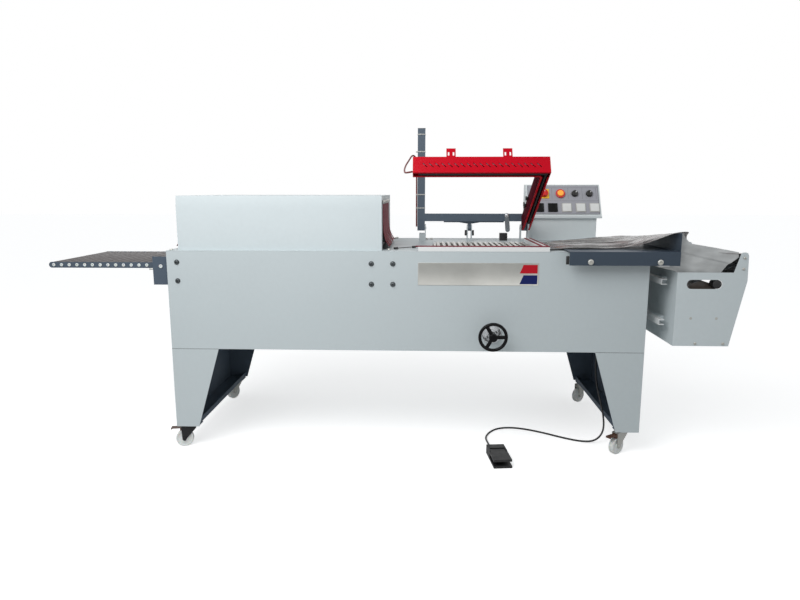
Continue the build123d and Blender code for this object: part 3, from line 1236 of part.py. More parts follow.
def console_outline(inset):
    """Side view of the console box with its sloping face."""
    return (
        (CONSOLE_LIP_Y + inset, CONSOLE_BOTTOM_Z + inset), (CONSOLE_LIP_Y + inset, CONSOLE_LIP_Z),
        (CONSOLE_FACE_Y + inset, CONSOLE_FACE_Z), (CONSOLE_CREST_Y + inset, CONSOLE_TOP_Z - inset),
        (CONSOLE_REAR_Y - inset, CONSOLE_TOP_Z - inset),
        (CONSOLE_REAR_Y - inset, CONSOLE_BOTTOM_Z + inset),
    )


def console_housing():
    """Sheet-metal console box on its pedestal."""
    pedestal = block(
        PEDESTAL_LEFT_X, PEDESTAL_RIGHT_X, PEDESTAL_FRONT_Y, PEDESTAL_REAR_Y,
        TABLE_Z, CONSOLE_BOTTOM_Z,
    )
    pedestal -= block(
        PEDESTAL_LEFT_X + SHEET, PEDESTAL_RIGHT_X - SHEET, PEDESTAL_FRONT_Y + SHEET,
        PEDESTAL_REAR_Y - SHEET, TABLE_Z - 1, CONSOLE_BOTTOM_Z - SHEET,
    )
    box = prism_x(console_outline(0), CONSOLE_LEFT_X, CONSOLE_RIGHT_X)
    box -= prism_x(
        console_outline(SHEET), CONSOLE_LEFT_X + SHEET, CONSOLE_RIGHT_X - SHEET
    )
    housing = pedestal + box
    for x, row, radius in stems():
        housing -= on_face(x, row) * Pos(0, 0, -STEM_DEPTH / 2) * Cylinder(radius, STEM_DEPTH)
    return housing


def stems():
    """Centre, row and hole radius of each control that passes through the console's sheet."""
    holes = [(MAIN_SWITCH_X, UPPER_ROW, STEM_RADIUS + TOUCH_GAP)]
    holes += [(x, UPPER_ROW, STEM_RADIUS + TOUCH_GAP) for x in DIAL_XS.values()]
    return holes


def on_face(x, row):
    """Frame on the console's sloping face: X along it, Y up it and Z out of it."""
    share = row / FACE_LENGTH
    y = CONSOLE_FACE_Y + share * (CONSOLE_CREST_Y - CONSOLE_FACE_Y)
    z = CONSOLE_FACE_Z + share * (CONSOLE_TOP_Z - CONSOLE_FACE_Z)
    return Plane(origin=(x, y, z), x_dir=(1, 0, 0), z_dir=FACE_NORMAL).location


def raised(width, height, low, high):
    """A rectangle standing out of the console's face between two heights."""
    return Pos(0, 0, (low + high) / 2) * Box(width, height, high - low)


def disc(radius, low, high):
    """A disc standing out of the console's face between two heights."""
    return Pos(0, 0, (low + high) / 2) * Cylinder(radius, high - low)


def console_face():
    """Face plate with the two displays, the main switch's plate, lamp ring and switch frames."""
    width = CONSOLE_RIGHT_X - CONSOLE_LEFT_X - 2 * FACE_MARGIN
    height = FACE_LENGTH - 2 * FACE_MARGIN
    middle_x = (CONSOLE_LEFT_X + CONSOLE_RIGHT_X) / 2
    plate = on_face(middle_x, FACE_LENGTH / 2) * raised(width, height, 0, FACE_PLATE)
    for x in DISPLAY_XS:
        display = raised(DISPLAY_SIZE, DISPLAY_SIZE, FACE_PLATE, FACE_PLATE + DISPLAY_RISE)
        plate += on_face(x, LOWER_ROW) * display
    for x in PUSH_XS.values():
        outer = PUSH_SIZE + 2 * PUSH_FRAME
        inner = PUSH_SIZE + 2 * SLIDE_GAP
        rim = FACE_PLATE + PUSH_RISE / 2
        frame = raised(outer, outer, FACE_PLATE, rim) - raised(inner, inner, FACE_PLATE, rim + 1)
        plate += on_face(x, LOWER_ROW) * frame
    top = FACE_PLATE + MAIN_PLATE_RISE
    plate += on_face(MAIN_SWITCH_X, UPPER_ROW) * raised(MAIN_PLATE, MAIN_PLATE, FACE_PLATE, top)
    ring = disc(LAMP_RING_RADIUS, FACE_PLATE, FACE_PLATE + LAMP_RING_RISE)
    ring -= disc(LAMP_RADIUS + SLIDE_GAP, FACE_PLATE, FACE_PLATE + LAMP_RING_RISE + 1)
    plate += on_face(LAMP_X, UPPER_ROW) * ring
    bore = STEM_RADIUS + RUNNING
    for x in (MAIN_SWITCH_X, *DIAL_XS.values()):
        plate -= on_face(x, UPPER_ROW) * disc(bore, -1, top + 1)
    return plate


def main_switch():
    """Rotary main switch: round knob with a grip across it, on its stem."""
    low = FACE_PLATE + MAIN_PLATE_RISE + TOUCH_GAP
    knob = disc(MAIN_KNOB_RADIUS, low, low + MAIN_KNOB_RISE)
    grip_top = low + 2 * MAIN_KNOB_RISE
    knob += raised(MAIN_GRIP_WIDTH, 2 * MAIN_KNOB_RADIUS - 4, low + MAIN_KNOB_RISE, grip_top)
    knob += disc(STEM_RADIUS, -STEM_DEPTH, low)
    return on_face(MAIN_SWITCH_X, UPPER_ROW) * knob


def lamp_button():
    """Lit push button in its ring."""
    low = FACE_PLATE + LAMP_TRAVEL + TOUCH_GAP
    button = disc(LAMP_RADIUS, low, FACE_PLATE + LAMP_RISE)
    return on_face(LAMP_X, UPPER_ROW) * fillet(button.faces().sort_by(Axis.Z)[-1].edges(), 3)


def dial(x):
    """Dial knob with a skirt and a raised pointer, on its stem."""
    low = FACE_PLATE + TOUCH_GAP
    top = low + DIAL_RISE
    knob = disc(DIAL_SKIRT_RADIUS, low, low + DIAL_SKIRT)
    knob += disc(DIAL_RADIUS, low + DIAL_SKIRT, top - 5)
    knob += raised(6, 2 * DIAL_RADIUS - 2, top - 5, top)
    knob += disc(STEM_RADIUS, -STEM_DEPTH, low)
    return on_face(x, UPPER_ROW) * knob


def push_switch(x):
    """Square push switch in its frame."""
    low = FACE_PLATE + PUSH_TRAVEL + TOUCH_GAP
    cap = raised(PUSH_SIZE, PUSH_SIZE, low, FACE_PLATE + PUSH_RISE)
    return on_face(x, LOWER_ROW) * fillet(cap.faces().sort_by(Axis.Z)[-1].edges(), 2)


def film_tray():
    """Film tray: front bar, floor and the end wall that the film climbs over."""
    floor_z = FILM_TRAY_FLOOR_Z - SHEET
    front_rear = FILM_TRAY_FRONT_Y + SHEET
    wall_x = FILM_TRAY_RIGHT_X - SHEET
    tray = block(
        FILM_TRAY_LEFT_X, FILM_TRAY_RIGHT_X, FILM_TRAY_FRONT_Y, FILM_TRAY_REAR_Y,
        floor_z, FILM_TRAY_FLOOR_Z,
    )
    tray += block(
        FILM_TRAY_LEFT_X, FILM_TRAY_RIGHT_X, FILM_TRAY_FRONT_Y, front_rear,
        FILM_TRAY_BAR_Z, floor_z,
    )
    wall = (
        (front_rear, FILM_TRAY_FLOOR_Z), (front_rear, FILM_TRAY_WALL_Z),
        (FILM_TRAY_REAR_Y, FILM_TRAY_WALL_REAR_Z), (FILM_TRAY_REAR_Y, FILM_TRAY_FLOOR_Z),
    )
    return tray + prism_x(wall, wall_x, FILM_TRAY_RIGHT_X)


def carriage_rails():
    """Two C-rails along the right-hand end, each on two brackets."""
    rails = []
    for z in RAIL_HEIGHTS:
        half = RAIL_SIZE / 2
        rail = block(RAIL_OUTER_X, RAIL_INNER_X, RAIL_FRONT_Y, RAIL_REAR_Y, z - half, z + half)
        rail -= block(
            RAIL_OUTER_X + RAIL_WALL, RAIL_INNER_X + 1, RAIL_FRONT_Y - 1, RAIL_REAR_Y + 1,
            z - half + RAIL_WALL, z + half - RAIL_WALL,
        )
        for y in RAIL_BRACKETS_Y:
            rail += block(RIGHT_X, RAIL_OUTER_X, y, y + RAIL_BRACKET, z - half, z + half)
        rails.append(rail)
    return rails


def bin_outline():
    """Front view of the film carriage with its raised ear for the guide rollers."""
    ear_left = BIN_RIGHT_X - 36
    ear_right = BIN_RIGHT_X - 8
    return (
        (BIN_LEFT_X, BIN_BOTTOM_Z), (BIN_FOOT_X, BIN_BOTTOM_Z), (BIN_RIGHT_X, BIN_KNEE_Z),
        (BIN_RIGHT_X - 3, BIN_EAR_TOP_Z - 14), (ear_right, BIN_EAR_TOP_Z - 3),
        (ear_right - 8, BIN_EAR_TOP_Z), (ear_left + 6, BIN_EAR_TOP_Z), (ear_left, BIN_EAR_TOP_Z - 7),
        (BIN_EAR_X, BIN_EDGE_Z), (BIN_LEFT_X, BIN_EDGE_Z),
    )


def slider(z, y):
    """Block on the carriage's side with a tongue that runs in its rail."""
    near = RAIL_INNER_X + SLIDE_GAP
    half = RAIL_SIZE / 2
    tongue_half = half - RAIL_WALL - SLIDE_GAP
    y0 = y - SLIDER_LENGTH / 2
    y1 = y + SLIDER_LENGTH / 2
    block_part = block(near, BIN_LEFT_X, y0, y1, z - half, z + half)
    return block_part + block(
        RAIL_OUTER_X + RAIL_WALL + TOUCH_GAP, near, y0, y1, z - tongue_half, z + tongue_half
    )


def film_carriage():
    """Open bin for the film roll: two cheeks, side wall, floor, skirt and the sliders."""
    front_rear = BIN_FRONT_Y + BIN_WALL
    rear_front = BIN_REAR_Y - BIN_WALL
    cheeks = prism_y(bin_outline(), BIN_FRONT_Y, front_rear)
    cheeks += prism_y(bin_outline(), rear_front, BIN_REAR_Y)
    for y0, y1 in ((BIN_FRONT_Y - 1, front_rear + 1), (rear_front - 1, BIN_REAR_Y + 1)):
        cheeks -= slot_y(HANDLE_LEFT_X, HANDLE_RIGHT_X, HANDLE_Z, HANDLE_RADIUS, y0, y1)
        for x, z in (*CRADLES.values(), *GUIDE_ROLLERS.values()):
            cheeks -= rod_y(ROLLER_SHAFT_RADIUS + RUNNING, y0, y1, x, z)
    wall_right = BIN_LEFT_X + BIN_WALL
    carriage = cheeks + block(
        BIN_LEFT_X, wall_right, front_rear, rear_front, BIN_BOTTOM_Z, BIN_EDGE_Z
    )
    carriage += block(
        wall_right, BIN_FOOT_X, front_rear, rear_front, BIN_BOTTOM_Z, BIN_BOTTOM_Z + BIN_WALL
    )
    slope = (BIN_RIGHT_X - BIN_FOOT_X) / (BIN_KNEE_Z - BIN_BOTTOM_Z)
    skirt_x = BIN_FOOT_X + slope * (BIN_SKIRT_Z - BIN_BOTTOM_Z)
    skirt = (
        (BIN_FOOT_X - BIN_WALL, BIN_BOTTOM_Z), (BIN_FOOT_X, BIN_BOTTOM_Z),
        (skirt_x, BIN_SKIRT_Z), (skirt_x - BIN_WALL, BIN_SKIRT_Z),
    )
    carriage += prism_y(skirt, front_rear, rear_front)
    for z in RAIL_HEIGHTS:
        for y in SLIDERS_Y:
            carriage += slider(z, y)
    return carriage


def film_roll():
    """Roll of film lying on the cradle rollers."""
    roll = rod_y(FILM_ROLL_RADIUS, FILM_ROLL_FRONT_Y, FILM_ROLL_REAR_Y, FILM_ROLL_X, FILM_ROLL_Z)
    return roll - rod_y(
        FILM_CORE_RADIUS, FILM_ROLL_FRONT_Y - 1, FILM_ROLL_REAR_Y + 1, FILM_ROLL_X, FILM_ROLL_Z
    )


def carriage_roller(place, radius):
    """Roller across the carriage with shaft ends in both cheeks."""
    x, z = place
    roller = rod_y(radius, BIN_FRONT_Y + ROLLER_END_GAP, BIN_REAR_Y - ROLLER_END_GAP, x, z)
    return roller + rod_y(ROLLER_SHAFT_RADIUS, BIN_FRONT_Y, BIN_REAR_Y, x, z)


def tangent_strip():
    """Stretch of film from the roll up to the lower guide roller."""
    x0, z0 = FILM_ROLL_X, FILM_ROLL_Z
    x1, z1 = GUIDE_ROLLERS["guide_roller_lower"]
    near = FILM_ROLL_RADIUS + SOFT_GAP
    far = GUIDE_ROLLER_RADIUS + SOFT_GAP
    distance = math.hypot(x1 - x0, z1 - z0)
    turn = math.atan2(z1 - z0, x1 - x0) + math.acos((near - far) / distance)
    out_x, out_z = math.cos(turn), math.sin(turn)
    outline = (
        (x0 + near * out_x, z0 + near * out_z), (x1 + far * out_x, z1 + far * out_z),
        (x1 + (far + FILM) * out_x, z1 + (far + FILM) * out_z),
        (x0 + (near + FILM) * out_x, z0 + (near + FILM) * out_z),
    )
    return prism_y(outline, FILM_BIN_FRONT_Y, FILM_REAR_Y)


def film_web():
    """Film from the jaws over the tray and its end wall to the upper guide roller."""
    ends = []
    for line, y in ((FILM_FRONT_LINE, FILM_FRONT_Y), (FILM_REAR_LINE, FILM_REAR_Y)):
        lower = [(FILM_TRAY_RIGHT_X + x, y, TABLE_Z + z) for x, z in line]
        upper = [(x, y, z + FILM) for x, y, z in reversed(lower)]
        ends.append(make_face(Polyline(*lower, *upper, close=True)))
    return loft(ends, ruled=True), tangent_strip()


def pedal_place():
    """Where the pedal lies on the floor; its front points along its own -Y."""
    return Pos(PEDAL_X, PEDAL_Y, 0) * Rot(0, 0, PEDAL_TURN)


def cord_points():
    """The pedal cord's points, the last two in line with the pedal's strain relief."""
    ends = []
    for out in (CORD_LAST_RUN, 0):
        place = pedal_place() * Pos(PEDAL_CORD_X, RELIEF_LENGTH + out, PEDAL_CORD_Z)
        ends.append(tuple(place.position))
    return CORD_POINTS + tuple(ends)


def pedal_base():
    """Foot switch base with cheeks, rear housing and the cord's strain relief."""
    half = PEDAL_WIDTH / 2
    inner = half - PEDAL_CHEEK
    base = block(-half, half, -PEDAL_LENGTH, 0, 0, PEDAL_BASE)
    base += block(-inner, inner, -PEDAL_HOUSING, 0, PEDAL_BASE, PEDAL_HEIGHT)
    for x in (-half, inner):
        base += block(x, x + PEDAL_CHEEK, -PEDAL_CHEEK_LENGTH, 0, PEDAL_BASE, PEDAL_HEIGHT)
    base -= rod_x(TREADLE_PIN_RADIUS + RUNNING, -half - 1, half + 1, TREADLE_PIN_Y, TREADLE_PIN_Z)
    relief = Pos(PEDAL_CORD_X, RELIEF_LENGTH / 2, PEDAL_CORD_Z) * Rot(-90, 0, 0) * Cone(
        RELIEF_RADIUS, CORD_RADIUS + 1, RELIEF_LENGTH
    )
    return pedal_place() * (base + relief)


def pedal_treadle():
    """Treadle plate on its pin between the cheeks."""
    inner = PEDAL_WIDTH / 2 - PEDAL_CHEEK - TOUCH_GAP
    half = PEDAL_WIDTH / 2
    top = TREADLE_BOTTOM_Z + TREADLE
    front = -PEDAL_LENGTH + TREADLE / 2
    plate = block(-inner, inner, -PEDAL_CHEEK_LENGTH - 1, TREADLE_REAR_Y, TREADLE_BOTTOM_Z, top)
    plate += block(-half, half, front, -PEDAL_CHEEK_LENGTH - 1, TREADLE_BOTTOM_Z, top)
    plate += rod_x(TREADLE_PIN_RADIUS, -half, half, TREADLE_PIN_Y, TREADLE_PIN_Z)
    return pedal_place() * plate


def gland(x, y, bore):
    """Cable gland through the pan: thread, hexagon and dome."""
    hexagon = extrude(RegularPolygon(GLAND_HEX_RADIUS, 6), amount=GLAND_HEX)
    body = Pos(x, y, SKIRT_Z - GLAND_HEX) * hexagon
    body += rod_z(GLAND_RADIUS, SKIRT_Z - GLAND_LENGTH, SKIRT_Z - GLAND_HEX, x, y)
    body += rod_z(GLAND_THREAD - RUNNING, SKIRT_Z, PAN_TOP_Z + SHEET, x, y)
    if bore:
        body -= rod_z(bore, SKIRT_Z - GLAND_LENGTH - 1, PAN_TOP_Z + 2 * SHEET, x, y)
    return body


def main():
    os.makedirs("parts", exist_ok=True)
    save("front_panel", front_panel())
    save("body_shell", body_shell())
    save("table_top", table_top())
    save("leg_skins", leg_skin(), mirrored(leg_skin()))
    save("leg_frames", leg_frame(), mirrored(leg_frame()))
    for name in CASTER_TURNS:
        place = caster_place(name)
        has_brake = name.startswith("front")
        save("caster_fork_" + name, place * caster_fork(has_brake))
        save("caster_wheel_" + name, place * caster_wheel())
        if has_brake:
            save("caster_brake_" + name, place * caster_brake())
    save("tunnel_hood", *tunnel_hood())
    save("tunnel_curtains", curtain(HOOD_LEFT_X, -1), curtain(HOOD_RIGHT_X, 1))
    save("tunnel_heaters", *tunnel_heaters())
    save("blower_wheel", blower_wheel())
    save("blower_motor", blower_motor())
    save("tunnel_belt", tunnel_belt())
    save("drive_roller", belt_roller(BELT_LEFT_X))
    save("idler_roller", belt_roller(BELT_RIGHT_X))
    save("exit_tray_brackets", tray_brackets())
    save("exit_tray_frame", exit_tray_frame())
    rollers = [exit_roller(TRAY_FIRST_X + index * TRAY_PITCH) for index in range(TRAY_ROLLERS)]
    save("exit_rollers", *rollers)
    save("lower_jaw", lower_jaw())
    save("lower_jaw_pads", lower_jaw_pads())
    save("lift_bed", lift_bed())
    save("lift_gearbox", *lift_gearbox())
    save("handwheel", handwheel())
    save("head_frame", head_frame())
    save("head_cover", head_cover())
    save("upper_seal_bar", upper_seal_bar())
    save("hinge_posts", *hinge_posts())
    save("cam_lever", cam_lever())
    save("limit_switch", limit_switch())
    save("mast_cable", tube_along("mast_cable", cable_points(), CABLE_RADIUS))
    save("console_housing", console_housing())
    save("console_face", console_face())
    save("main_switch", main_switch())
    save("lamp_button", lamp_button())
    for name, x in DIAL_XS.items():
        save(name, dial(x))
    for name, x in PUSH_XS.items():
        save(name, push_switch(x))
    save("film_tray", film_tray())
    save("carriage_rails", *carriage_rails())
    save("film_carriage", film_carriage())
    save("film_roll", film_roll())
    for name, place in CRADLES.items():
        save(name, carriage_roller(place, CRADLE_RADIUS))
    for name, place in GUIDE_ROLLERS.items():
        save(name, carriage_roller(place, GUIDE_ROLLER_RADIUS))
    save("film_web", *film_web())
    save("pedal_base", pedal_base())
    save("pedal_treadle", pedal_treadle())
    save("pedal_cord", tube_along("pedal_cord", cord_points(), CORD_RADIUS))
    save("cable_glands", gland(GLAND_X, GLAND_Y, 0), gland(MAINS_X, MAINS_Y, MAINS_BORE_RADIUS))


if __name__ == "__main__":
    main()
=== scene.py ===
import math

import bmesh
import bpy
from bpy.props import FloatProperty, FloatVectorProperty, PointerProperty
from mathutils import Matrix, Vector


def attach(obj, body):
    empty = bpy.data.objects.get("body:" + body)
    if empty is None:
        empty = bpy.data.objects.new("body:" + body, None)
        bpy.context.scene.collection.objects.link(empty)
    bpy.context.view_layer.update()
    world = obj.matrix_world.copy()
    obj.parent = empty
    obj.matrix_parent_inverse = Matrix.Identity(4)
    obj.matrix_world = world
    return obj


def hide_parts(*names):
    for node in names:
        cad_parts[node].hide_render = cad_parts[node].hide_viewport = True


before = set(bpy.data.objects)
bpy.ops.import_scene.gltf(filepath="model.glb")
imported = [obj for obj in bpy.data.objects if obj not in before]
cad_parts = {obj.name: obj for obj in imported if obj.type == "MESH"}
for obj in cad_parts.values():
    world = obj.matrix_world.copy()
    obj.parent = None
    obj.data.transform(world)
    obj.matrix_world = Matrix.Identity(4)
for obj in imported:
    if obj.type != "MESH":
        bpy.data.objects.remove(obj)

bl_info = {
    "name": "L Bar Sealer Pieces",
    "version": (1, 0, 0),
    "blender": (4, 5, 0),
    "location": "View3D > Sidebar > Sealer",
    "description": "Finishes and detail pieces for an L-bar film sealer with its shrink tunnel",
    "category": "Object",
}

# Places below are in millimetres from the middle of the body at floor level
BODY_MIDDLE = Vector((0.085, 0.075, 0.0))

# Ways that bolts and sunk faces look
FRONTWARD = (0, -1, 0)
UPWARD = (0, 0, 1)

# The photograph's camera: lens in millimetres, place, and turns down and aside in degrees
CAMERA_LENS = 28.2
CAMERA_PLACE = (84, -3209, 1199)
CAMERA_DOWN = 9.82
CAMERA_ASIDE = 2.19

# Front of the front panel, and top of the table
PANEL_Y = -440
TABLE_Z = 938

# Hinge of the sealing head, studs of its middle post, and the angle it stands open at rest
HINGE_Y = 200
HINGE_Z = 1005
POST_X = 328
STUD_Z = 977
HEAD_OPEN = math.radians(29)

# Sloping face of the console
FACE_FOOT = (233, 1072)
FACE_CREST = (322, 1236)
FACE_PLATE = 3

# Rows of the console's controls along its face, and their places in x
UPPER_ROW = 128
LOWER_ROW = 44
SWITCH_X = 736
LAMP_X = 825
DIALS_X = (("speed_dial", 903), ("heat_dial", 981))
DISPLAYS_X = (706, 780)
PUSHES_X = (855, 930, 1004)

# Handwheel's shaft in x and z, and the y of its rim
WHEEL_X = 390
WHEEL_Z = 568
RIM_Y = -512

# Tunnel curtains: the mouths in x with the way out of each, where the strips start, how wide
# they hang, their heights, and how far they hang off the mouth
MOUTHS = (("entry", -105, 1), ("exit", -1030, -1))
CURTAIN_Y = -350
CURTAIN_WIDTH = 485
CURTAIN_TOP = 1158
CLAMP_FOOT = 1136
CLAMP_BOLT_Z = 1152
CURTAIN_FOOT = 951
CURTAIN_OFF = 1.4

# Rollers of the exit tray: first place, pitch, count, height, and ends of a roller
ROLLER_X = -1624
ROLLER_PITCH = 36.4
ROLLER_COUNT = 13
ROLLER_Z = 866
ROLLER_ENDS = (-386.5, 126.5)

# Lines of the foot pedal's cord, from its gland, and of the cable from the mast to the cover
PEDAL_CORD = (
    (942, -160, 455), (942, -160, 398), (938, -170, 325), (941, -198, 252), (953, -236, 182),
    (962, -276, 112), (955, -301, 52), (914, -312, 12), (852, -300, 4.7), (772, -256, 4.7),
    (686, -192, 4.7), (596, -143, 4.7), (521, -128, 4.7), (459, -148, 4.7), (418, -199, 4.7),
    (397, -255, 7), (390, -308, 14), (393.16, -362.402, 20), (398.177, -410.139, 20),
)
MAST_CABLE = (
    (43, 200, 1012), (43, 201, 1285), (41, 190, 1375), (22, 125, 1388), (5, 40, 1354),
    (-8, -45, 1327), (-12, -130, 1306), (-10, -212, 1292), (-5, -280, 1284), (7, -326, 1283),
    (28.8, -352, 1286),
)

# Front and rear lines of the film, in x and z, from the table to the upper guide roller
FILM_FRONT_Y = -470
FILM_INNER_Y = -385
FILM_REAR_Y = -40
FILM_FRONT = (
    (646, 946), (690, 944.8), (980, 945.2), (1028, 958), (1070, 979), (1111, 1001), (1150, 1019),
    (1176, 1024), (1196, 1023.6), (1214, 1000), (1228, 974), (1322, 956), (1452, 934.5),
    (1466, 934.5),
)
FILM_REAR = (
    (646, 946), (690, 950), (940, 974), (1000, 976.5), (1045, 978), (1090, 978.5), (1140, 980),
    (1176, 981.4), (1194, 981.4), (1214, 976), (1238, 964), (1322, 950), (1452, 934.5),
    (1466, 934.5),
)

# Line of the front edge where it makes a lip over the tray's wall
FILM_CURL = (
    (646, 946), (690, 944.8), (980, 945.2), (1028, 960), (1070, 982), (1111, 1005), (1150, 1022),
    (1182, 1029), (1228, 1031), (1204, 1012), (1222, 966), (1322, 941), (1452, 934.5),
    (1466, 934.5),
)

# Lower layer of the folded film, from under the tray to the lower guide roller
FILM_LOWER = (
    (1090, 941), (1184, 940.6), (1215, 935), (1300, 917), (1400, 895.5), (1440, 888.6),
    (1450, 887.6),
)

# Upper and lower edges of the film's side that hangs inside the carriage's front cheek
SIDE_TOP = (
    (1086, 880), (1188.6, 880), (1191, 1022), (1212, 996), (1228, 979), (1330, 962), (1390, 951),
    (1436, 942),
)
SIDE_FOOT = (
    (1086, 879), (1188.6, 855), (1191, 846), (1240, 846), (1300, 846), (1366, 848), (1393, 886),
    (1436, 920),
)

# Black plate between the carriage's cheeks, beside the guide rollers, that makes the carriage's
# right side dark: its section and ends in y
BLACK_PLATE_ENDS = (-477.2, 97.2)
BIN_BLACK_PLATE = (
    (1470.2, 800), (1473.9, 819), (1473.9, 922), (1475.2, 922), (1475.2, 819), (1471.6, 800),
)

# Film roll and the lower guide roller: x, z and radius
ROLL = (1305, 732, 78)
LOWER_GUIDE = (1456, 871, 16)

# Thickness of the film in metres, where it lies on the tray, and the ends of the tray in x
FILM_THICK = 0.0005
TRAY_FILM_Z = 944.8
TRAY_LEFT = 640
TRAY_RIGHT = 1178

# The tray's wall: its sides in x, and its top, which falls over its depth from the front
WALL_LEFT = 1171
WALL_RIGHT = 1187
WALL_TOP = 1026.4
WALL_FALL = 46
WALL_FRONT_Y = -497.5
WALL_DEPTH = 467.5

# Front of the single webs in y, and their width
WEB_FRONT_Y = -440
WEB_WIDTH = 400


def paint_colour(name, description, default):
    """A colour that is shown and typed as it looks on screen."""
    return FloatVectorProperty(
        name=name, description=description, subtype="COLOR_GAMMA", size=3, min=0.0, max=1.0,
        default=default,
    )


class SealerColours(bpy.types.PropertyGroup):
    """Colours of the machine's finishes."""

    panel: paint_colour("Panels", "Powder coat of the casing", (0.74, 0.775, 0.785))
    navy: paint_colour(
        "Inner legs", "Dark blue paint of the leg frames and tray rails", (0.3, 0.345, 0.395)
    )
    cover: paint_colour("Cover", "Red paint of the sealing head's cover", (0.76, 0.0, 0.11))
    mast: paint_colour("Mast", "Blue-grey paint of the mast and beam", (0.33, 0.38, 0.43))
    tray: paint_colour("Film tray", "Slate blue paint of the film tray", (0.235, 0.28, 0.33))
    silicone: paint_colour("Silicone", "Jaw strips and tunnel curtains", (0.5, 0.13, 0.19))
    nylon: paint_colour("Nylon", "Caster wheels and bolt caps", (0.9, 0.91, 0.9))
    roller: paint_colour("Tray rollers", "Plastic of the exit rollers", (0.3, 0.28, 0.28))
    face: paint_colour("Console face", "Paint of the control plate", (0.65, 0.655, 0.685))
    film: paint_colour("Film", "Tint of the shrink film", (0.56, 0.55, 0.54))
    lamp: paint_colour("Lamp", "Lens of the lamp button", (1.0, 0.66, 0.16))


class SealerSizes(bpy.types.PropertyGroup):
    """Sizes that a user would change."""

    curtain_strip: FloatProperty(
        name="Curtain strip", description="Width of one strip of the tunnel curtains",
        subtype="DISTANCE", default=0.048, min=0.01, max=0.2,
    )
    bolt_head: FloatProperty(
        name="Bolt head", description="Radius of the panel bolts", subtype="DISTANCE",
        default=0.0085, min=0.002, max=0.02,
    )


def at(x, y, z):
    """A place in the frame, in metres."""
    return Vector((x, y, z)) / 1000 + BODY_MIDDLE


def colours():
    return bpy.context.scene.sealer_colours


def sizes():
    return bpy.context.scene.sealer_sizes


def linear(colour):
    """A colour as the shader takes it."""
    return tuple(c / 12.92 if c <= 0.04045 else ((c + 0.055) / 1.055) ** 2.4 for c in colour)


def deselect():
    bpy.ops.object.select_all(action="DESELECT")


def activate(piece):
    deselect()
    piece.select_set(True)
    bpy.context.view_layer.objects.active = piece


def edit(piece, mode="VERT"):
    """Open a piece in edit mode with nothing selected."""
    activate(piece)
    bpy.ops.object.mode_set(mode="EDIT")
    bpy.ops.mesh.select_mode(type=mode)
    bpy.ops.mesh.select_all(action="DESELECT")
    return bmesh.from_edit_mesh(piece.data)


def leave(piece):
    bpy.ops.object.mode_set(mode="OBJECT")
    return piece


def extrude(x, y, z):
    """Extrude what is selected, by a way in millimetres."""
    way = (x / 1000, y / 1000, z / 1000)
    bpy.ops.mesh.extrude_region_move(TRANSFORM_OT_translate={"value": way})


def sink(piece, facing, rim, depth):
    """Inset the face that lies furthest along a direction and push it in, in millimetres."""
    mesh = edit(piece, "FACE")
    face = max(mesh.faces, key=lambda f: f.calc_center_median().dot(Vector(facing)))
    face.select = True
    bpy.ops.mesh.inset(thickness=rim / 1000)
    extrude(*(-depth * c for c in facing))
    return leave(piece)


def settle(piece):
    """Put a piece's place, turn and size into its mesh."""
    activate(piece)
    bpy.ops.object.transform_apply(location=True, rotation=True, scale=True)
    return piece


def add_box(x0, x1, y0, y1, z0, z1):
    """A box between two corners in millimetres."""
    deselect()
    bpy.ops.mesh.primitive_cube_add(size=1.0)
    piece = bpy.context.object
    piece.location = at((x0 + x1) / 2, (y0 + y1) / 2, (z0 + z1) / 2)
    piece.scale = ((x1 - x0) / 1000, (y1 - y0) / 1000, (z1 - z0) / 1000)
    return settle(piece)


def add_rod(start, end, radius, sides=32):
    """A rod between two places in millimetres."""
    a = at(*start)
    b = at(*end)
    deselect()
    bpy.ops.mesh.primitive_cylinder_add(vertices=sides, radius=radius / 1000, depth=(b - a).length)
    piece = bpy.context.object
    piece.rotation_mode = "QUATERNION"
    piece.rotation_quaternion = (b - a).to_track_quat("Z", "Y")
    piece.location = (a + b) / 2
    return settle(piece)


def apply(piece, kind, **values):
    """Add a modifier and apply it."""
    activate(piece)
    modifier = piece.modifiers.new(kind.title(), kind)
    for key, value in values.items():
        setattr(modifier, key, value)
    bpy.ops.object.modifier_apply(modifier=modifier.name)
    return piece


def rounded(piece, width, segments=3, angle=30):
    """Round a piece's edges, width in millimetres."""
    apply(
        piece, "BEVEL", width=width / 1000, segments=segments, limit_method="ANGLE",
        angle_limit=math.radians(angle),
    )
    return smooth(piece)


def smooth(piece, angle=35):
    activate(piece)
    bpy.ops.object.shade_smooth_by_angle(angle=math.radians(angle))
    return piece


def joined(pieces):
    """One piece out of several."""
    deselect()
    for piece in pieces:
        piece.select_set(True)
    bpy.context.view_layer.objects.active = pieces[0]
    bpy.ops.object.join()
    return pieces[0]


def copied(piece, matrix):
    """A copy with its own mesh, moved by a matrix in the frame."""
    twin = piece.copy()
    twin.data = piece.data.copy()
    bpy.context.collection.objects.link(twin)
    twin.data.transform(matrix)
    return twin


def shift(x, y, z):
    return Matrix.Translation(Vector((x, y, z)) / 1000)


def turned_about(point, angle, axis):
    """A turn about an axis through a place in millimetres."""
    place = Matrix.Translation(at(*point))
    return place @ Matrix.Rotation(angle, 4, axis) @ place.inverted()


def raise_head(piece):
    """Turn a piece of the closed head up to the rest pose."""
    piece.data.transform(turned_about((0, HINGE_Y, HINGE_Z), -HEAD_OPEN, "X"))
    return piece


def place_piece(piece, name, body, material):
    """Name a finished piece and give it its body and material."""
    piece.name = name
    piece.data.name = name
    piece.data.materials.clear()
    piece.data.materials.append(MATERIALS[material])
    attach(piece, body)
    return piece


def set_inputs(node, **values):
    """Set a shader node's inputs, by their names in lower case."""
    for key, value in values.items():
        node.inputs[key.replace("_", " ").title()].default_value = value
    return node


def add_node(nodes, kind, **values):
    return set_inputs(nodes.new("ShaderNode" + kind), **values)


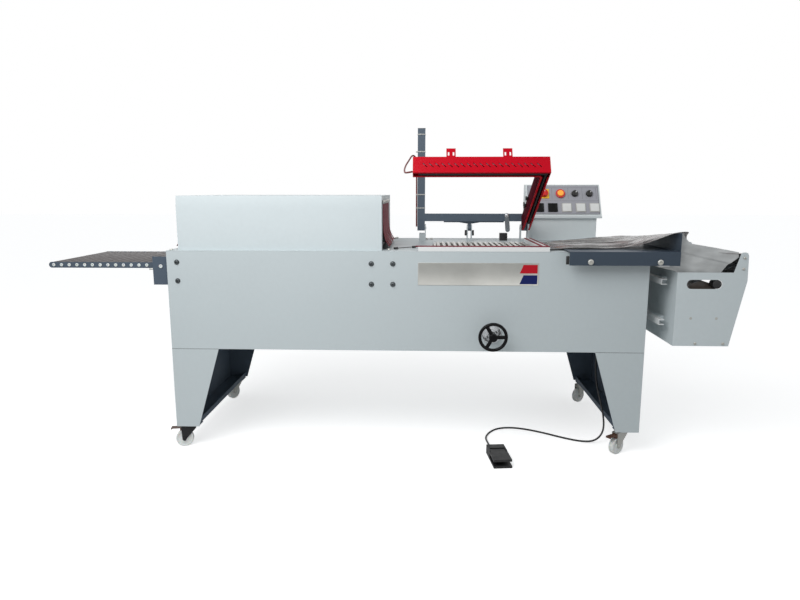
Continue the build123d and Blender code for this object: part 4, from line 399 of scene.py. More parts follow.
def bare_tree(owner):
    """The nodes and links of a material or world, emptied."""
    owner.use_nodes = True
    owner.node_tree.nodes.clear()
    return owner.node_tree.nodes, owner.node_tree.links


def shade(colour, factor):
    """A lighter or darker tone of a colour."""
    return tuple(min(1.0, c * factor) for c in colour)


class Finish:
    """A node material that is built up from patterns on Object coordinates."""

    def __init__(self, name, colour, metallic=0.0, roughness=0.5, specular=0.5):
        self.material = bpy.data.materials.new(name)
        self.material.use_nodes = True
        self.nodes = self.material.node_tree.nodes
        self.links = self.material.node_tree.links
        self.shader = self.nodes["Principled BSDF"]
        self.colour = colour
        self.roughness = roughness
        self.set(base_color=(*linear(colour), 1), metallic=metallic, roughness=roughness)
        self.shader.inputs["Specular IOR Level"].default_value = specular
        self.place = self.nodes.new("ShaderNodeTexCoord").outputs["Object"]
        self.normal = None

    def set(self, **values):
        set_inputs(self.shader, **values)
        return self

    def noise(self, scale, detail=2, stretch=(1, 1, 1)):
        """Noise with about `scale` grains to a metre along each axis, stretched."""
        mapping = add_node(self.nodes, "Mapping", scale=stretch)
        self.links.new(self.place, mapping.inputs["Vector"])
        noise = add_node(self.nodes, "TexNoise", scale=scale, detail=detail)
        self.links.new(mapping.outputs["Vector"], noise.inputs["Vector"])
        return noise.outputs["Fac"]

    def wave(self, scale, direction, distortion=0.0):
        """Bands across one axis."""
        wave = add_node(self.nodes, "TexWave", scale=scale, distortion=distortion)
        wave.bands_direction = direction
        self.links.new(self.place, wave.inputs["Vector"])
        return wave.outputs["Fac"]

    def ramp(self, value, low, high, start=0.3, stop=0.7):
        """Map a pattern from low to high."""
        node = add_node(
            self.nodes, "MapRange", from_min=start, from_max=stop, to_min=low, to_max=high
        )
        self.links.new(value, node.inputs["Value"])
        return node.outputs["Result"]

    def tone(self, value, other, strength=1.0, start=0.3, stop=0.7):
        """Mix the base colour towards another by a pattern."""
        mix = self.nodes.new("ShaderNodeMix")
        mix.data_type = "RGBA"
        first, second = mix.inputs[6], mix.inputs[7]
        source = self.shader.inputs["Base Color"]
        first.default_value = source.default_value
        if source.links:
            self.links.new(source.links[0].from_socket, first)
        second.default_value = (*linear(other), 1)
        self.links.new(self.ramp(value, 0.0, strength, start, stop), mix.inputs[0])
        self.links.new(mix.outputs[2], source)
        return self

    def mottle(self, scale, detail, factor, strength):
        """Noise that draws the colour towards a lighter or darker shade of itself."""
        return self.tone(self.noise(scale, detail), shade(self.colour, factor), strength)

    def gloss(self, value, less, more):
        """Vary the roughness by a pattern, to both sides of its value."""
        varied = self.ramp(value, self.roughness - less, self.roughness + more)
        self.links.new(varied, self.shader.inputs["Roughness"])
        return self

    def fade(self, value, *ends):
        """Let light through by a pattern."""
        self.links.new(self.ramp(value, *ends), self.shader.inputs["Alpha"])
        return self

    def bump(self, value, depth):
        """Raise the surface by a pattern, depth in millimetres."""
        bump = add_node(self.nodes, "Bump", strength=1.0, distance=depth / 1000)
        self.links.new(value, bump.inputs["Height"])
        if self.normal is not None:
            self.links.new(self.normal, bump.inputs["Normal"])
        self.normal = bump.outputs["Normal"]
        self.links.new(self.normal, self.shader.inputs["Normal"])
        return self

    def grain(self, scale, depth):
        """Fine raised grain, depth in millimetres."""
        return self.bump(self.noise(scale), depth)


def powder_coat(name, colour, roughness=0.42):
    """Sprayed and baked sheet: fine orange peel and a faint mottle of dust."""
    finish = Finish(name, colour, roughness=roughness, specular=0.3)
    finish.mottle(1.4, 2, 0.97, 0.5).mottle(55, 3, 1.02, 0.3)
    return finish.gloss(finish.noise(9, 4), 0.06, 0.08).grain(420, 0.03).material


def gloss_paint(name, colour, roughness=0.25):
    """Smooth glossy enamel with a faint unevenness in its sheen."""
    finish = Finish(name, colour, roughness=roughness, specular=0.12).mottle(3, 4, 0.92, 0.5)
    return finish.gloss(finish.noise(14, 4), 0.04, 0.07).grain(260, 0.02).material


def bare_metal(name, colour, roughness=0.35, stretch=(1, 40, 40)):
    """Drawn or brushed metal with fine lines along one axis."""
    finish = Finish(name, colour, metallic=0.85, roughness=roughness).mottle(6, 4, 0.82, 0.6)
    finish.gloss(finish.noise(28, 3, stretch), 0.1, 0.15)
    return finish.bump(finish.noise(60, 2, stretch), 0.012).material


def moulded(name, colour, roughness=0.45, grain=700):
    """Moulded plastic with a fine spark-eroded grain."""
    finish = Finish(name, colour, roughness=roughness).mottle(12, 3, 1.15, 0.5)
    return finish.gloss(finish.noise(40, 3), 0.08, 0.1).grain(grain, 0.03).material


def silicone(name, colour):
    """Silicone-coated glass cloth: a fine square weave under a dull sheen."""
    finish = Finish(name, colour, roughness=0.6, specular=0.2).mottle(14, 4, 0.75, 0.8)
    return finish.bump(finish.wave(420, "Y"), 0.04).bump(finish.wave(420, "Z"), 0.04).material


def painted_shade_matt(name, colour):
    """Matt dark sheet without a sheen, with a mottle and fine grain, used as painted shade."""
    finish = Finish(name, colour, roughness=0.8, specular=0.03)
    return finish.mottle(9, 4, 0.7, 0.7).grain(160, 0.05).material


def nylon(name, colour):
    """Turned nylon with a mottle of scuffs and a fine grain."""
    finish = Finish(name, colour, roughness=0.4).set(subsurface_weight=0.08)
    return finish.mottle(60, 4, 0.88, 0.6).grain(300, 0.03).material


def wire_belt(name):
    """Woven wire: crossing bands, with painted shade in the gaps between the wires."""
    finish = Finish(name, (0.32, 0.32, 0.33), metallic=0.8, roughness=0.45)
    across = finish.wave(70, "X")
    # Painted shade: the bands darken to near black in the gaps between the wires
    finish.tone(across, (0.08, 0.08, 0.08), 0.7).bump(across, 0.8)
    return finish.bump(finish.wave(45, "Y"), 0.6).material


def clear_film(name, colour):
    """Folded shrink film: darker and clearer in streaks along its run, with painted reflections of
    the red cover in reddish patches and painted highlights in white streaks.
    """
    finish = Finish(name, colour, roughness=0.16, specular=0.7)
    streak = finish.noise(7, 3, (0.9, 5.5, 2))
    # Painted reflection of the red cover: reddish patches
    finish.tone(finish.noise(4.5, 2, (1, 2, 1)), (0.43, 0.21, 0.21), 0.65, 0.5, 0.62)
    finish.tone(streak, (0.13, 0.13, 0.13), 0.8, 0.46, 0.6)
    # Painted highlights: white streaks along the run
    finish.tone(finish.noise(9, 2, (0.45, 8, 2)), (0.92, 0.92, 0.92), 0.7, 0.53, 0.64)
    finish.fade(streak, 0.9, 0.5, 0.35, 0.75).bump(streak, 3)
    return finish.bump(finish.noise(30, 3, (1, 2.5, 1)), 0.6).material


def single_film(name, colour):
    """One taut layer of shrink film, with faint draw lines."""
    finish = Finish(name, colour, roughness=0.14, specular=0.7)
    line = finish.noise(6, 3, (0.8, 6, 1.5))
    finish.tone(line, shade(colour, 0.75), 0.6)
    return finish.fade(line, 0.86, 0.6).bump(line, 1.5).material


def side_film(name, colour):
    """Hanging fold of shrink film, milky and nearly closed."""
    finish = Finish(name, colour, roughness=0.2).set(alpha=0.93)
    line = finish.noise(5, 3, (2.5, 1, 6))
    return finish.tone(line, shade(colour, 0.82), 0.7).bump(line, 1.0).material


def wound_film(name, colour):
    """Film wound on a roll: milky, with faint rings of tension."""
    finish = Finish(name, colour, roughness=0.22).set(coat_weight=0.3)
    finish.tone(finish.wave(9, "Y", 2), shade(colour, 0.86), 0.5).mottle(7, 3, 0.8, 0.6)
    return finish.bump(finish.wave(60, "Y", 1.0), 0.06).material


def rubber_cord(name, colour):
    """Cable sheath with a soft sheen."""
    return Finish(name, colour, roughness=0.48).mottle(25, 3, 1.5, 0.5).grain(900, 0.03).material


def lit_lens(name, colour):
    """Translucent lens over a weak lamp."""
    finish = Finish(name, colour, roughness=0.18).set(
        coat_weight=0.6, emission_color=(*linear(colour), 1), emission_strength=0.25
    )
    return finish.bump(finish.wave(300, "X"), 0.05).material


MATERIALS = {}


def make_materials():
    """Every finish of the machine, by its everyday name."""
    c = colours()
    MATERIALS.update(
        panel=powder_coat("Panel Powder Coat", c.panel),
        navy=powder_coat("Dark Blue Paint", c.navy, 0.5),
        cover=gloss_paint("Cover Red Enamel", c.cover),
        mast=powder_coat("Mast Slate Paint", c.mast, 0.38),
        tray=powder_coat("Film Tray Slate Paint", c.tray, 0.4),
        iron=powder_coat("Black Iron Paint", (0.12, 0.12, 0.125), 0.4),
        silicone=silicone("Silicone Cloth", c.silicone),
        # Painted shade: dark maroon for the sheet on the arm's inner side, which lies in shade
        maroon=painted_shade_matt("Arm Painted Shade", (0.34, 0.05, 0.12)),
        nylon=nylon("White Nylon", c.nylon),
        rubber=moulded("Guide Roller Rubber", (0.36, 0.37, 0.38), 0.5, 400),
        roller=moulded("Roller Plastic", c.roller, 0.4, 300),
        zinc=bare_metal("Zinc Plate", (0.78, 0.78, 0.76), 0.38, (8, 8, 8)),
        slat=bare_metal("Slat Metal", (0.85, 0.85, 0.83), 0.3, (60, 2, 60)),
        black=moulded("Black Plastic", (0.1, 0.1, 0.105)),
        bakelite=gloss_paint("Black Bakelite", (0.07, 0.07, 0.075), 0.2),
        red_knob=moulded("Red Switch Knob", (0.82, 0.08, 0.05), 0.3),
        yellow=moulded("Yellow Switch Plate", (0.98, 0.76, 0.16), 0.35),
        face=powder_coat("Console Face Paint", c.face, 0.45),
        white_cap=moulded("White Switch Cap", (0.88, 0.89, 0.88), 0.35),
        lamp=lit_lens("Lamp Lens", c.lamp),
        belt=wire_belt("Woven Wire Belt"),
        motor=powder_coat("Motor Paint", (0.33, 0.37, 0.41), 0.5),
        film=clear_film("Shrink Film", c.film),
        film_thin=single_film("Single Film", (0.74, 0.76, 0.77)),
        film_side=side_film("Side Film", (0.79, 0.8, 0.8)),
        # Painted light: a lighter copy of the panel powder coat, for the light that the hood's top
        # catches from above; the film carriage shares it
        hood=powder_coat("Hood Painted Light Powder Coat", (0.79, 0.825, 0.835)),
        # Painted light: a lighter copy of the panel powder coat, for the brighter light on the
        # console housing
        pedestal=powder_coat("Console Painted Light Powder Coat", (0.86, 0.89, 0.895)),
        roll=wound_film("Wound Film", (0.47, 0.43, 0.4)),
        cable=rubber_cord("Cable Sheath", (0.1, 0.1, 0.1)),
        harness=rubber_cord("Cable Harness", (0.36, 0.1, 0.08)),
        bolt=bare_metal("Bolt Steel", (0.36, 0.38, 0.39), 0.24, (4, 4, 4)),
        lever=bare_metal("Lever Steel", (0.5, 0.53, 0.55), 0.4, (4, 4, 4)),
        jaw=powder_coat("Jaw Bar Paint", (0.88, 0.89, 0.89), 0.34),
        galvanised=bare_metal("Galvanised Sheet", (0.68, 0.69, 0.7), 0.45, (4, 4, 4)),
        brake=moulded("Brake Pedal Plastic", (0.3, 0.2, 0.15)),
        chrome=bare_metal("Chrome Flange", (0.88, 0.89, 0.9), 0.12, (4, 4, 4)),
        plate=bare_metal("Name Plate Metal", (0.78, 0.78, 0.76), 0.4, (1, 30, 90)),
        block_red=gloss_paint("Plate Red Block", (0.72, 0.1, 0.16), 0.35),
        block_blue=gloss_paint("Plate Blue Block", (0.1, 0.14, 0.36), 0.35),
        window=gloss_paint("Display Window", (0.06, 0.06, 0.065), 0.12),
        frame_grey=moulded("Switch Frame", (0.72, 0.72, 0.7), 0.4),
        ink=moulded("Printed Lines", (0.22, 0.22, 0.23), 0.6),
    )


# Kept nodes by their material and the rounding of their edges in millimetres
NODE_FINISHES = {
    ("panel", 1.2): "front_panel body_shell",
    ("panel", 0.8): "table_top leg_skins hinge_posts",
    ("navy", 0.8): "leg_frames exit_tray_brackets exit_tray_frame",
    # Lighter copy of the panel paint, painted light
    ("hood", 1.2): "tunnel_hood",
    ("galvanised", 0): "tunnel_heaters blower_wheel",
    ("motor", 0.8): "blower_motor",
    ("belt", 0): "tunnel_belt",
    ("zinc", 0.5): "drive_roller idler_roller",
    ("roller", 0.6): "exit_rollers",
    ("jaw", 0.8): "lower_jaw",
    ("silicone", 0.8): "lower_jaw_pads",
    ("slat", 2): "lift_bed",
    ("motor", 1.0): "lift_gearbox",
    ("bakelite", 1.0): "handwheel",
    ("mast", 1.2): "head_frame",
    ("cover", 0.8): "head_cover",
    ("iron", 0.8): "upper_seal_bar",
    ("lever", 0.8): "cam_lever",
    ("black", 1.0): "limit_switch",
    # Lighter copy of the panel paint, painted light
    ("pedestal", 1.2): "console_housing",
    ("face", 0.6): "console_face",
    ("red_knob", 0.8): "main_switch",
    ("lamp", 0): "lamp_button",
    ("black", 0.8): "speed_dial heat_dial cable_glands",
    ("white_cap", 0): "push_switch_left push_switch_middle push_switch_right",
    ("tray", 0.8): "film_tray",
    ("jaw", 0.6): "carriage_rails",
    # Lighter copy of the panel paint, painted light
    ("hood", 0.8): "film_carriage",
    ("roll", 0.8): "film_roll",
    ("zinc", 0.8): "cradle_roller_left cradle_roller_right",
    ("rubber", 0.8): "guide_roller_upper guide_roller_lower",
    ("black", 1.5): "pedal_base pedal_treadle",
    ("iron", 0.6): "caster_fork_front_left",
    ("zinc", 0.6): "caster_fork_front_right caster_fork_rear_left caster_fork_rear_right",
    ("nylon", 0.6): (
        "caster_wheel_front_left caster_wheel_front_right caster_wheel_rear_left "
        "caster_wheel_rear_right"
    ),
    ("brake", 1.0): "caster_brake_front_left caster_brake_front_right",
    ("silicone", 0): "tunnel_curtains",
}


def soften(node, width):
    """Round a kept node's edges with live modifiers."""
    weld = node.modifiers.new("Weld", "WELD")
    weld.merge_threshold = 0.00002
    plain = node.modifiers.new("Planes", "DECIMATE")
    plain.decimate_type = "DISSOLVE"
    plain.angle_limit = math.radians(0.5)
    if width:
        bevel = node.modifiers.new("Edges", "BEVEL")
        bevel.width = width / 1000
        bevel.segments = 3
        bevel.limit_method = "ANGLE"
        bevel.angle_limit = math.radians(40)
        bevel.use_clamp_overlap = True
    normals = node.modifiers.new("Normals", "WEIGHTED_NORMAL")
    normals.keep_sharp = False


def lamp(name, kind, place, aim, energy, size):
    """A soft lamp that looks at a point."""
    data = bpy.data.lights.new(name, kind)
    data.energy = energy
    if kind == "AREA":
        data.size = size
    else:
        data.angle = size
    light = bpy.data.objects.new(name, data)
    bpy.context.collection.objects.link(light)
    light.location = place
    light.rotation_euler = (Vector(aim) - Vector(place)).to_track_quat("-Z", "Y").to_euler()


class SEALER_OT_stage(bpy.types.Operator):
    """Camera, soft lamps, white surroundings and a floor that keeps the shadows"""

    bl_idname = "sealer.stage"
    bl_label = "Stage"

    def execute(self, context):
        scene = context.scene
        scene.view_settings.view_transform = "Standard"
        data = bpy.data.cameras.new("Camera")
        data.lens = CAMERA_LENS
        data.sensor_width = 36
        camera = bpy.data.objects.new("Camera", data)
        context.collection.objects.link(camera)
        camera.location = at(*CAMERA_PLACE)
        camera.rotation_euler = (math.radians(90 - CAMERA_DOWN), 0, math.radians(CAMERA_ASIDE))
        scene.camera = camera
        lamp("Key", "SUN", (-2.5, -4, 5), (0, 0, 0.6), 0.46, math.radians(40))
        lamp("Fill", "SUN", (4, -3, 3), (0, 0, 0.6), 0.18, math.radians(60))
        lamp("Window", "AREA", at(-850, -1700, 2350), at(-500, -350, 1100), 34, 1.6)
        self.surround(scene)
        self.floor(context)
        return {"FINISHED"}

    def surround(self, scene):
        """Soft light from all round, seen as white."""
        scene.world = bpy.data.worlds.new("Surround")
        nodes, links = bare_tree(scene.world)
        ray = add_node(nodes, "LightPath")
        seen = ray.outputs["Is Camera Ray"]
        for kind in ("Is Transmission Ray", "Is Glossy Ray"):
            either = add_node(nodes, "Math")
            either.operation = "MAXIMUM"
            links.new(seen, either.inputs[0])
            links.new(ray.outputs[kind], either.inputs[1])
            seen = either.outputs[0]
        mix = add_node(nodes, "MixShader")
        links.new(seen, mix.inputs[0])
        grounds = (((0.95, 0.98, 1.0, 1), 0.36), ((1, 1, 1, 1), 1.0))
        for socket, (colour, strength) in zip(mix.inputs[1:], grounds):
            ground = add_node(nodes, "Background", color=colour, strength=strength)
            links.new(ground.outputs[0], socket)
        links.new(mix.outputs[0], add_node(nodes, "OutputWorld").inputs["Surface"])

    def floor(self, context):
        """A pale floor that shows white where nothing shades it."""
        deselect()
        bpy.ops.mesh.primitive_plane_add(size=60, location=(0, 0, 0))
        floor = context.object
        floor.name = "Floor"
        material = bpy.data.materials.new("Floor")
        nodes, links = bare_tree(material)
        lift = add_node(nodes, "Math")
        lift.operation = "MULTIPLY"
        lift.inputs[1].default_value = 0.6
        links.new(add_node(nodes, "LightPath").outputs["Is Camera Ray"], lift.inputs[0])
        diffuse = add_node(nodes, "BsdfDiffuse", color=(0.82, 0.82, 0.82, 1))
        glow = add_node(nodes, "Emission")
        links.new(lift.outputs[0], glow.inputs["Strength"])
        both = add_node(nodes, "AddShader")
        links.new(diffuse.outputs[0], both.inputs[0])
        links.new(glow.outputs[0], both.inputs[1])
        links.new(both.outputs[0], add_node(nodes, "OutputMaterial").inputs["Surface"])
        floor.data.materials.append(material)


def cord_curve(name, points, radius):
    """A round cord on one smooth line."""
    curve = bpy.data.curves.new(name, "CURVE")
    curve.dimensions = "3D"
    curve.resolution_u = 10
    curve.bevel_depth = radius / 1000
    curve.bevel_resolution = 4
    curve.use_fill_caps = True
    spline = curve.splines.new("NURBS")
    spline.points.add(len(points) - 1)
    for point, place in zip(spline.points, points):
        point.co = (*at(*place), 1.0)
    spline.order_u = 3
    spline.use_endpoint_u = True
    piece = bpy.data.objects.new(name, curve)
    bpy.context.collection.objects.link(piece)
    return piece


class SEALER_OT_cords(bpy.types.Operator):
    """The foot pedal's cord and the cable that leads from the mast to the sealing head"""

    bl_idname = "sealer.cords"
    bl_label = "Cords"

    def execute(self, context):
        cord = cord_curve("pedal_cord_line", PEDAL_CORD, 4.5)
        place_piece(cord, "pedal_cord_line", "base", "cable")
        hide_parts("pedal_cord")
        cable = cord_curve("mast_cable_line", MAST_CABLE, 4)
        place_piece(cable, "mast_cable_line", "head", "harness")
        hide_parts("mast_cable")
        return {"FINISHED"}


class SEALER_OT_finishes(bpy.types.Operator):
    """Finishes and rounded edges for the solids that keep their own shape"""

    bl_idname = "sealer.finishes"
    bl_label = "Finishes"

    def execute(self, context):
        for (material, width), names in NODE_FINISHES.items():
            for name in names.split():
                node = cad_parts[name]
                node.data.materials.clear()
                node.data.materials.append(MATERIALS[material])
                soften(node, width)
        return {"FINISHED"}


def hang_strip(profile, y0, y1):
    """A strip of cloth that is extruded down a line of (x, z) places."""
    (x0, z0), (x1, z1) = profile[:2]
    deselect()
    bpy.ops.mesh.primitive_plane_add(size=1.0)
    piece = bpy.context.object
    corners = (at(x0, y0, z0), at(x1, y0, z1), at(x0, y1, z0), at(x1, y1, z1))
    for vertex, place in zip(piece.data.vertices, corners):
        vertex.co = place
    for x, z in profile[2:]:
        mesh = edit(piece, "EDGE")
        middle = at(x1, (y0 + y1) / 2, z1)
        edge = min(
            mesh.edges, key=lambda e: ((e.verts[0].co + e.verts[1].co) / 2 - middle).length
        )
        edge.select = True
        mesh.select_flush(True)
        extrude(x - x1, 0, z - z1)
        leave(piece)
        x1, z1 = x, z
    return piece


def curtain_profile(mouth, way, bow, foot):
    """Line of a curtain strip from its clamp to its foot, bowing out of the mouth."""
    steps = 8
    start = mouth + way * CURTAIN_OFF
    line = [(start, CURTAIN_TOP), (start, CLAMP_FOOT)]
    for step in range(1, steps + 1):
        share = step / steps
        line.append((start + way * bow * share ** 5, CLAMP_FOOT + (foot - CLAMP_FOOT) * share))
    return line


class SEALER_OT_curtains(bpy.types.Operator):
    """Silicone strip curtains at both mouths of the tunnel, with their clamp bars"""

    bl_idname = "sealer.curtains"
    bl_label = "Curtains"

    def execute(self, context):
        count = round(CURTAIN_WIDTH / (sizes().curtain_strip * 1000))
        width = CURTAIN_WIDTH / count
        for name, mouth, way in MOUTHS:
            strips = []
            for index in range(count):
                y = CURTAIN_Y + index * width
                bow = 29 + 3 * math.sin(index * 2.3)
                line = curtain_profile(mouth, way, bow, CURTAIN_FOOT + 0.8 * math.sin(index * 1.7))
                strips.append(hang_strip(line, y + 0.6, y + width - 0.6))
            cloth = apply(joined(strips), "SOLIDIFY", thickness=0.0014, offset=0.0)
            smooth(cloth, 60)
            place_piece(cloth, name + "_curtain", "base", "silicone")
            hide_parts("tunnel_curtains")
            self.clamp(name, mouth + way * 2.4, mouth + way * 5, way)
        return {"FINISHED"}

    def clamp(self, name, inner, outer, way):
        """Bar that holds the strips at the mouth, with its bolts."""
        near, far = sorted((inner, outer))
        z = CLAMP_BOLT_Z
        parts = [rounded(add_box(near, far, -352, 137, z - 8, z + 8), 0.6, 2)]
        for index in range(7):
            y = -335 + index * 76
            bolt = add_rod((outer, y, z), (outer + way * 2.5, y, z), 4, 20)
            parts.append(rounded(bolt, 0.8, 2))
        place_piece(joined(parts), name + "_curtain_clamp", "base", "zinc")


def dome_bolt(radius, height, facing):
    """Round-headed socket bolt at the body's middle, standing out along an axis."""
    head = add_rod((0, 0, 0), tuple(height * c for c in facing), radius, 32)
    apply(head, "BEVEL", width=height * 0.00055, segments=4, limit_method="ANGLE",
          angle_limit=math.radians(40))
    return smooth(sink(head, facing, radius * 0.2, height * 0.8), 40)


def washer(radius, thick, facing):
    return rounded(add_rod((0, 0, 0), tuple(thick * c for c in facing), radius, 32), thick * 0.3, 2)


def spread(piece, places):
    """Copy a piece modelled at the body's middle to many places, and join the copies."""
    copies = [copied(piece, shift(*place)) for place in places]
    bpy.data.objects.remove(piece)
    return joined(copies)


def plate_of(outline, y0, y1):
    """A flat plate of any outline in x and z, between two places along y."""
    deselect()
    bpy.ops.mesh.primitive_circle_add(vertices=len(outline), fill_type="NGON")
    piece = bpy.context.object
    for vertex, (x, z) in zip(piece.data.vertices, outline):
        vertex.co = at(x, y0, z)
    edit(piece)
    bpy.ops.mesh.select_all(action="SELECT")
    extrude(0, y1 - y0, 0)
    bpy.ops.mesh.select_all(action="SELECT")
    bpy.ops.mesh.normals_make_consistent(inside=False)
    return leave(piece)


def along(line, share):
    """Place at a share of the points of a line."""
    step = share * (len(line) - 1)
    index = min(int(step), len(line) - 2)
    part = step - index
    (x0, z0), (x1, z1) = line[index], line[index + 1]
    return Vector((x0 + part * (x1 - x0), z0 + part * (z1 - z0)))


def stations(line, count):
    """Shares of a line's points that lie at even distances along it."""
    fine = [along(line, step / 2000) for step in range(2001)]
    run = [0.0]
    for first, second in zip(fine, fine[1:]):
        run.append(run[-1] + (second - first).length)
    shares = []
    place = 0
    for index in range(count + 1):
        goal = run[-1] * index / count
        while place < 2000 and run[place] < goal:
            place += 1
        shares.append(place / 2000)
    return shares


def film_front(x):
    """Where the film's front edge lies: well inside the tray, and out at the wall."""
    share = ramped(x, 960, 1160)
    share *= share * (3 - 2 * share)
    return FILM_INNER_Y + (FILM_FRONT_Y - FILM_INNER_Y) * share


def film_floor(x, y):
    """Height that the film has to stay above: the tray, and its wall with the sloping top."""
    if WALL_LEFT < x < WALL_RIGHT:
        return WALL_TOP - WALL_FALL * (y - WALL_FRONT_Y) / WALL_DEPTH
    return TRAY_FILM_Z if TRAY_LEFT < x < TRAY_RIGHT else 0.0


def ramped(value, start, stop):
    """How far a value has come from start to stop, held between 0 and 1."""
    return min(1.0, max(0.0, (value - start) / (stop - start)))


def draped(columns, rows, place):
    """A grid whose points lie where place puts their shares of its length and width."""
    deselect()
    bpy.ops.mesh.primitive_grid_add(x_subdivisions=columns, y_subdivisions=rows, size=1.0)
    sheet = bpy.context.object
    for vertex in sheet.data.vertices:
        vertex.co = place(vertex.co.x + 0.5, vertex.co.y + 0.5)
    return sheet


def thickened(sheet):
    """Give a sheet of film its thickness."""
    return smooth(apply(sheet, "SOLIDIFY", thickness=FILM_THICK, offset=0.0), 70)


def web_y(depth):
    """Place across the single webs, in y."""
    return WEB_FRONT_Y + WEB_WIDTH * depth


class SEALER_OT_film(bpy.types.Operator):
    """Film that runs over the tray and its wall, the web under the tray, and the run to the roll"""

    bl_idname = "sealer.film"
    bl_label = "Film"

    def execute(self, context):
        upper = self.web(self.upper_web(150, 48), "film_upper_web", "film")
        lower = self.web(draped(60, 40, self.lower_place), "film_lower_web", "film_thin")
        run = self.web(self.roll_run(), "film_roll_run", "film_thin")
        side = thickened(draped(70, 40, self.side_place))
        place_piece(side, "film_side", "carriage", "film_side")
        return {"FINISHED"}

    def web(self, sheet, name, material):
        """A web of film that rides on the tray."""
        place_piece(thickened(sheet), name, "film_tray", material)
        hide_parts("film_web")
        return sheet

    def upper_web(self, columns, rows):
        """A grid laid along the film's two lines, smoothed, and gathered in soft folds."""
        shares = stations(FILM_FRONT, columns)
        lines = []
        for row in range(rows + 1):
            share = row / rows
            curl = max(0.0, 1 - share / 0.24) ** 2
            line = []
            for step in shares:
                front = along(FILM_FRONT, step).lerp(along(FILM_CURL, step), curl)
                line.append(front.lerp(along(FILM_REAR, step), share))
            for _ in range(6):
                inner = [(a + 2 * b + c) / 4 for a, b, c in zip(line, line[1:], line[2:])]
                line = [line[0], *inner, line[-1]]
            lines.append(line)

        def place(share, depth):
            column, row = round(share * columns), round(depth * rows)
            x, z = lines[row][column]
            front = film_front(x)
            y = front + (FILM_REAR_Y - front) * row / rows
            return self.folded(x, y, z, column / columns, row / rows)

        return draped(columns, rows, place)

    def folded(self, x, y, z, share, depth):
        """Lift one place of the film by the folds that run along it."""
        height = 2.5 + 9.5 * ramped(x, 1130, 970)
        height *= min(1.0, share * 9) * min(1.0, (1 - share) * 7)
        drift = 34 * math.sin(x / 170) + 13 * math.sin(x / 61 + 1.3)
        fold = 0.5 + 0.5 * math.sin((y + drift) / 9.5)
        crease = 0.5 + 0.5 * math.sin((y - 0.6 * drift) / 23 + 0.8 * math.sin(x / 90))
        lift = height * (0.45 * fold ** 2 + 0.75 * crease ** 3)
        edge = max(0.0, 1 - depth / 0.08) + max(0.0, (depth - 0.92) / 0.08)
        wander = 5 * math.sin(x / 48) + 3 * math.sin(x / 19 + 2)
        return at(x, y + edge * wander, max(z + lift, film_floor(x, y)))

    def lower_place(self, share, depth):
        """Lower layer of the folded film, from under the tray to the lower guide roller."""
        x, z = along(FILM_LOWER, share)
        y = web_y(depth)
        sag = 3 * math.sin(math.pi * ramped(x, 1185, 1450))
        ripple = math.sin((y + 20 * math.sin(x / 70)) / 13)
        return at(x, y, z - sag + 0.45 * sag * ripple)

    def side_place(self, share, depth):
        """Side of the folded film between its two layers, with one long crease."""
        x, z = along(SIDE_TOP, share).lerp(along(SIDE_FOOT, share), depth)
        crease = 942 - (x - 1188) * 0.232
        ripple = 1.2 * math.sin(x / 31 + z / 19) + 0.8 * math.sin(x / 12 - z / 23)
        return at(x, FILM_FRONT_Y + 5 * ramped(z, crease + 2.5, crease - 2.5) + ripple, z)

    def roll_run(self):
        """Straight run of film from the roll up to the lower guide roller."""
        x0, z0, near = ROLL
        x1, z1, far = LOWER_GUIDE
        near += 0.8
        far += 0.8
        turn = math.atan2(z1 - z0, x1 - x0)
        turn += math.acos((near - far) / math.hypot(x1 - x0, z1 - z0))
        start = (x0 + near * math.cos(turn), z0 + near * math.sin(turn))
        end = (x1 + far * math.cos(turn), z1 + far * math.sin(turn))

        def place(share, depth):
            x, z = along((start, end), share)
            return at(x, web_y(depth), z)

        return draped(24, 20, place)


def wing_knob(x, y, z, way, span):
    """Black wing knob on a short stud that stands out along x."""
    hub = rounded(add_rod((x, y, z), (x + way * 16, y, z), 8, 32), 2, 3)
    tip = x + way * 12
    wing = add_box(tip - 4, tip + 4, y - 5, y + 5, z - span, z + span)
    return joined([hub, rounded(wing, 3, 4)])


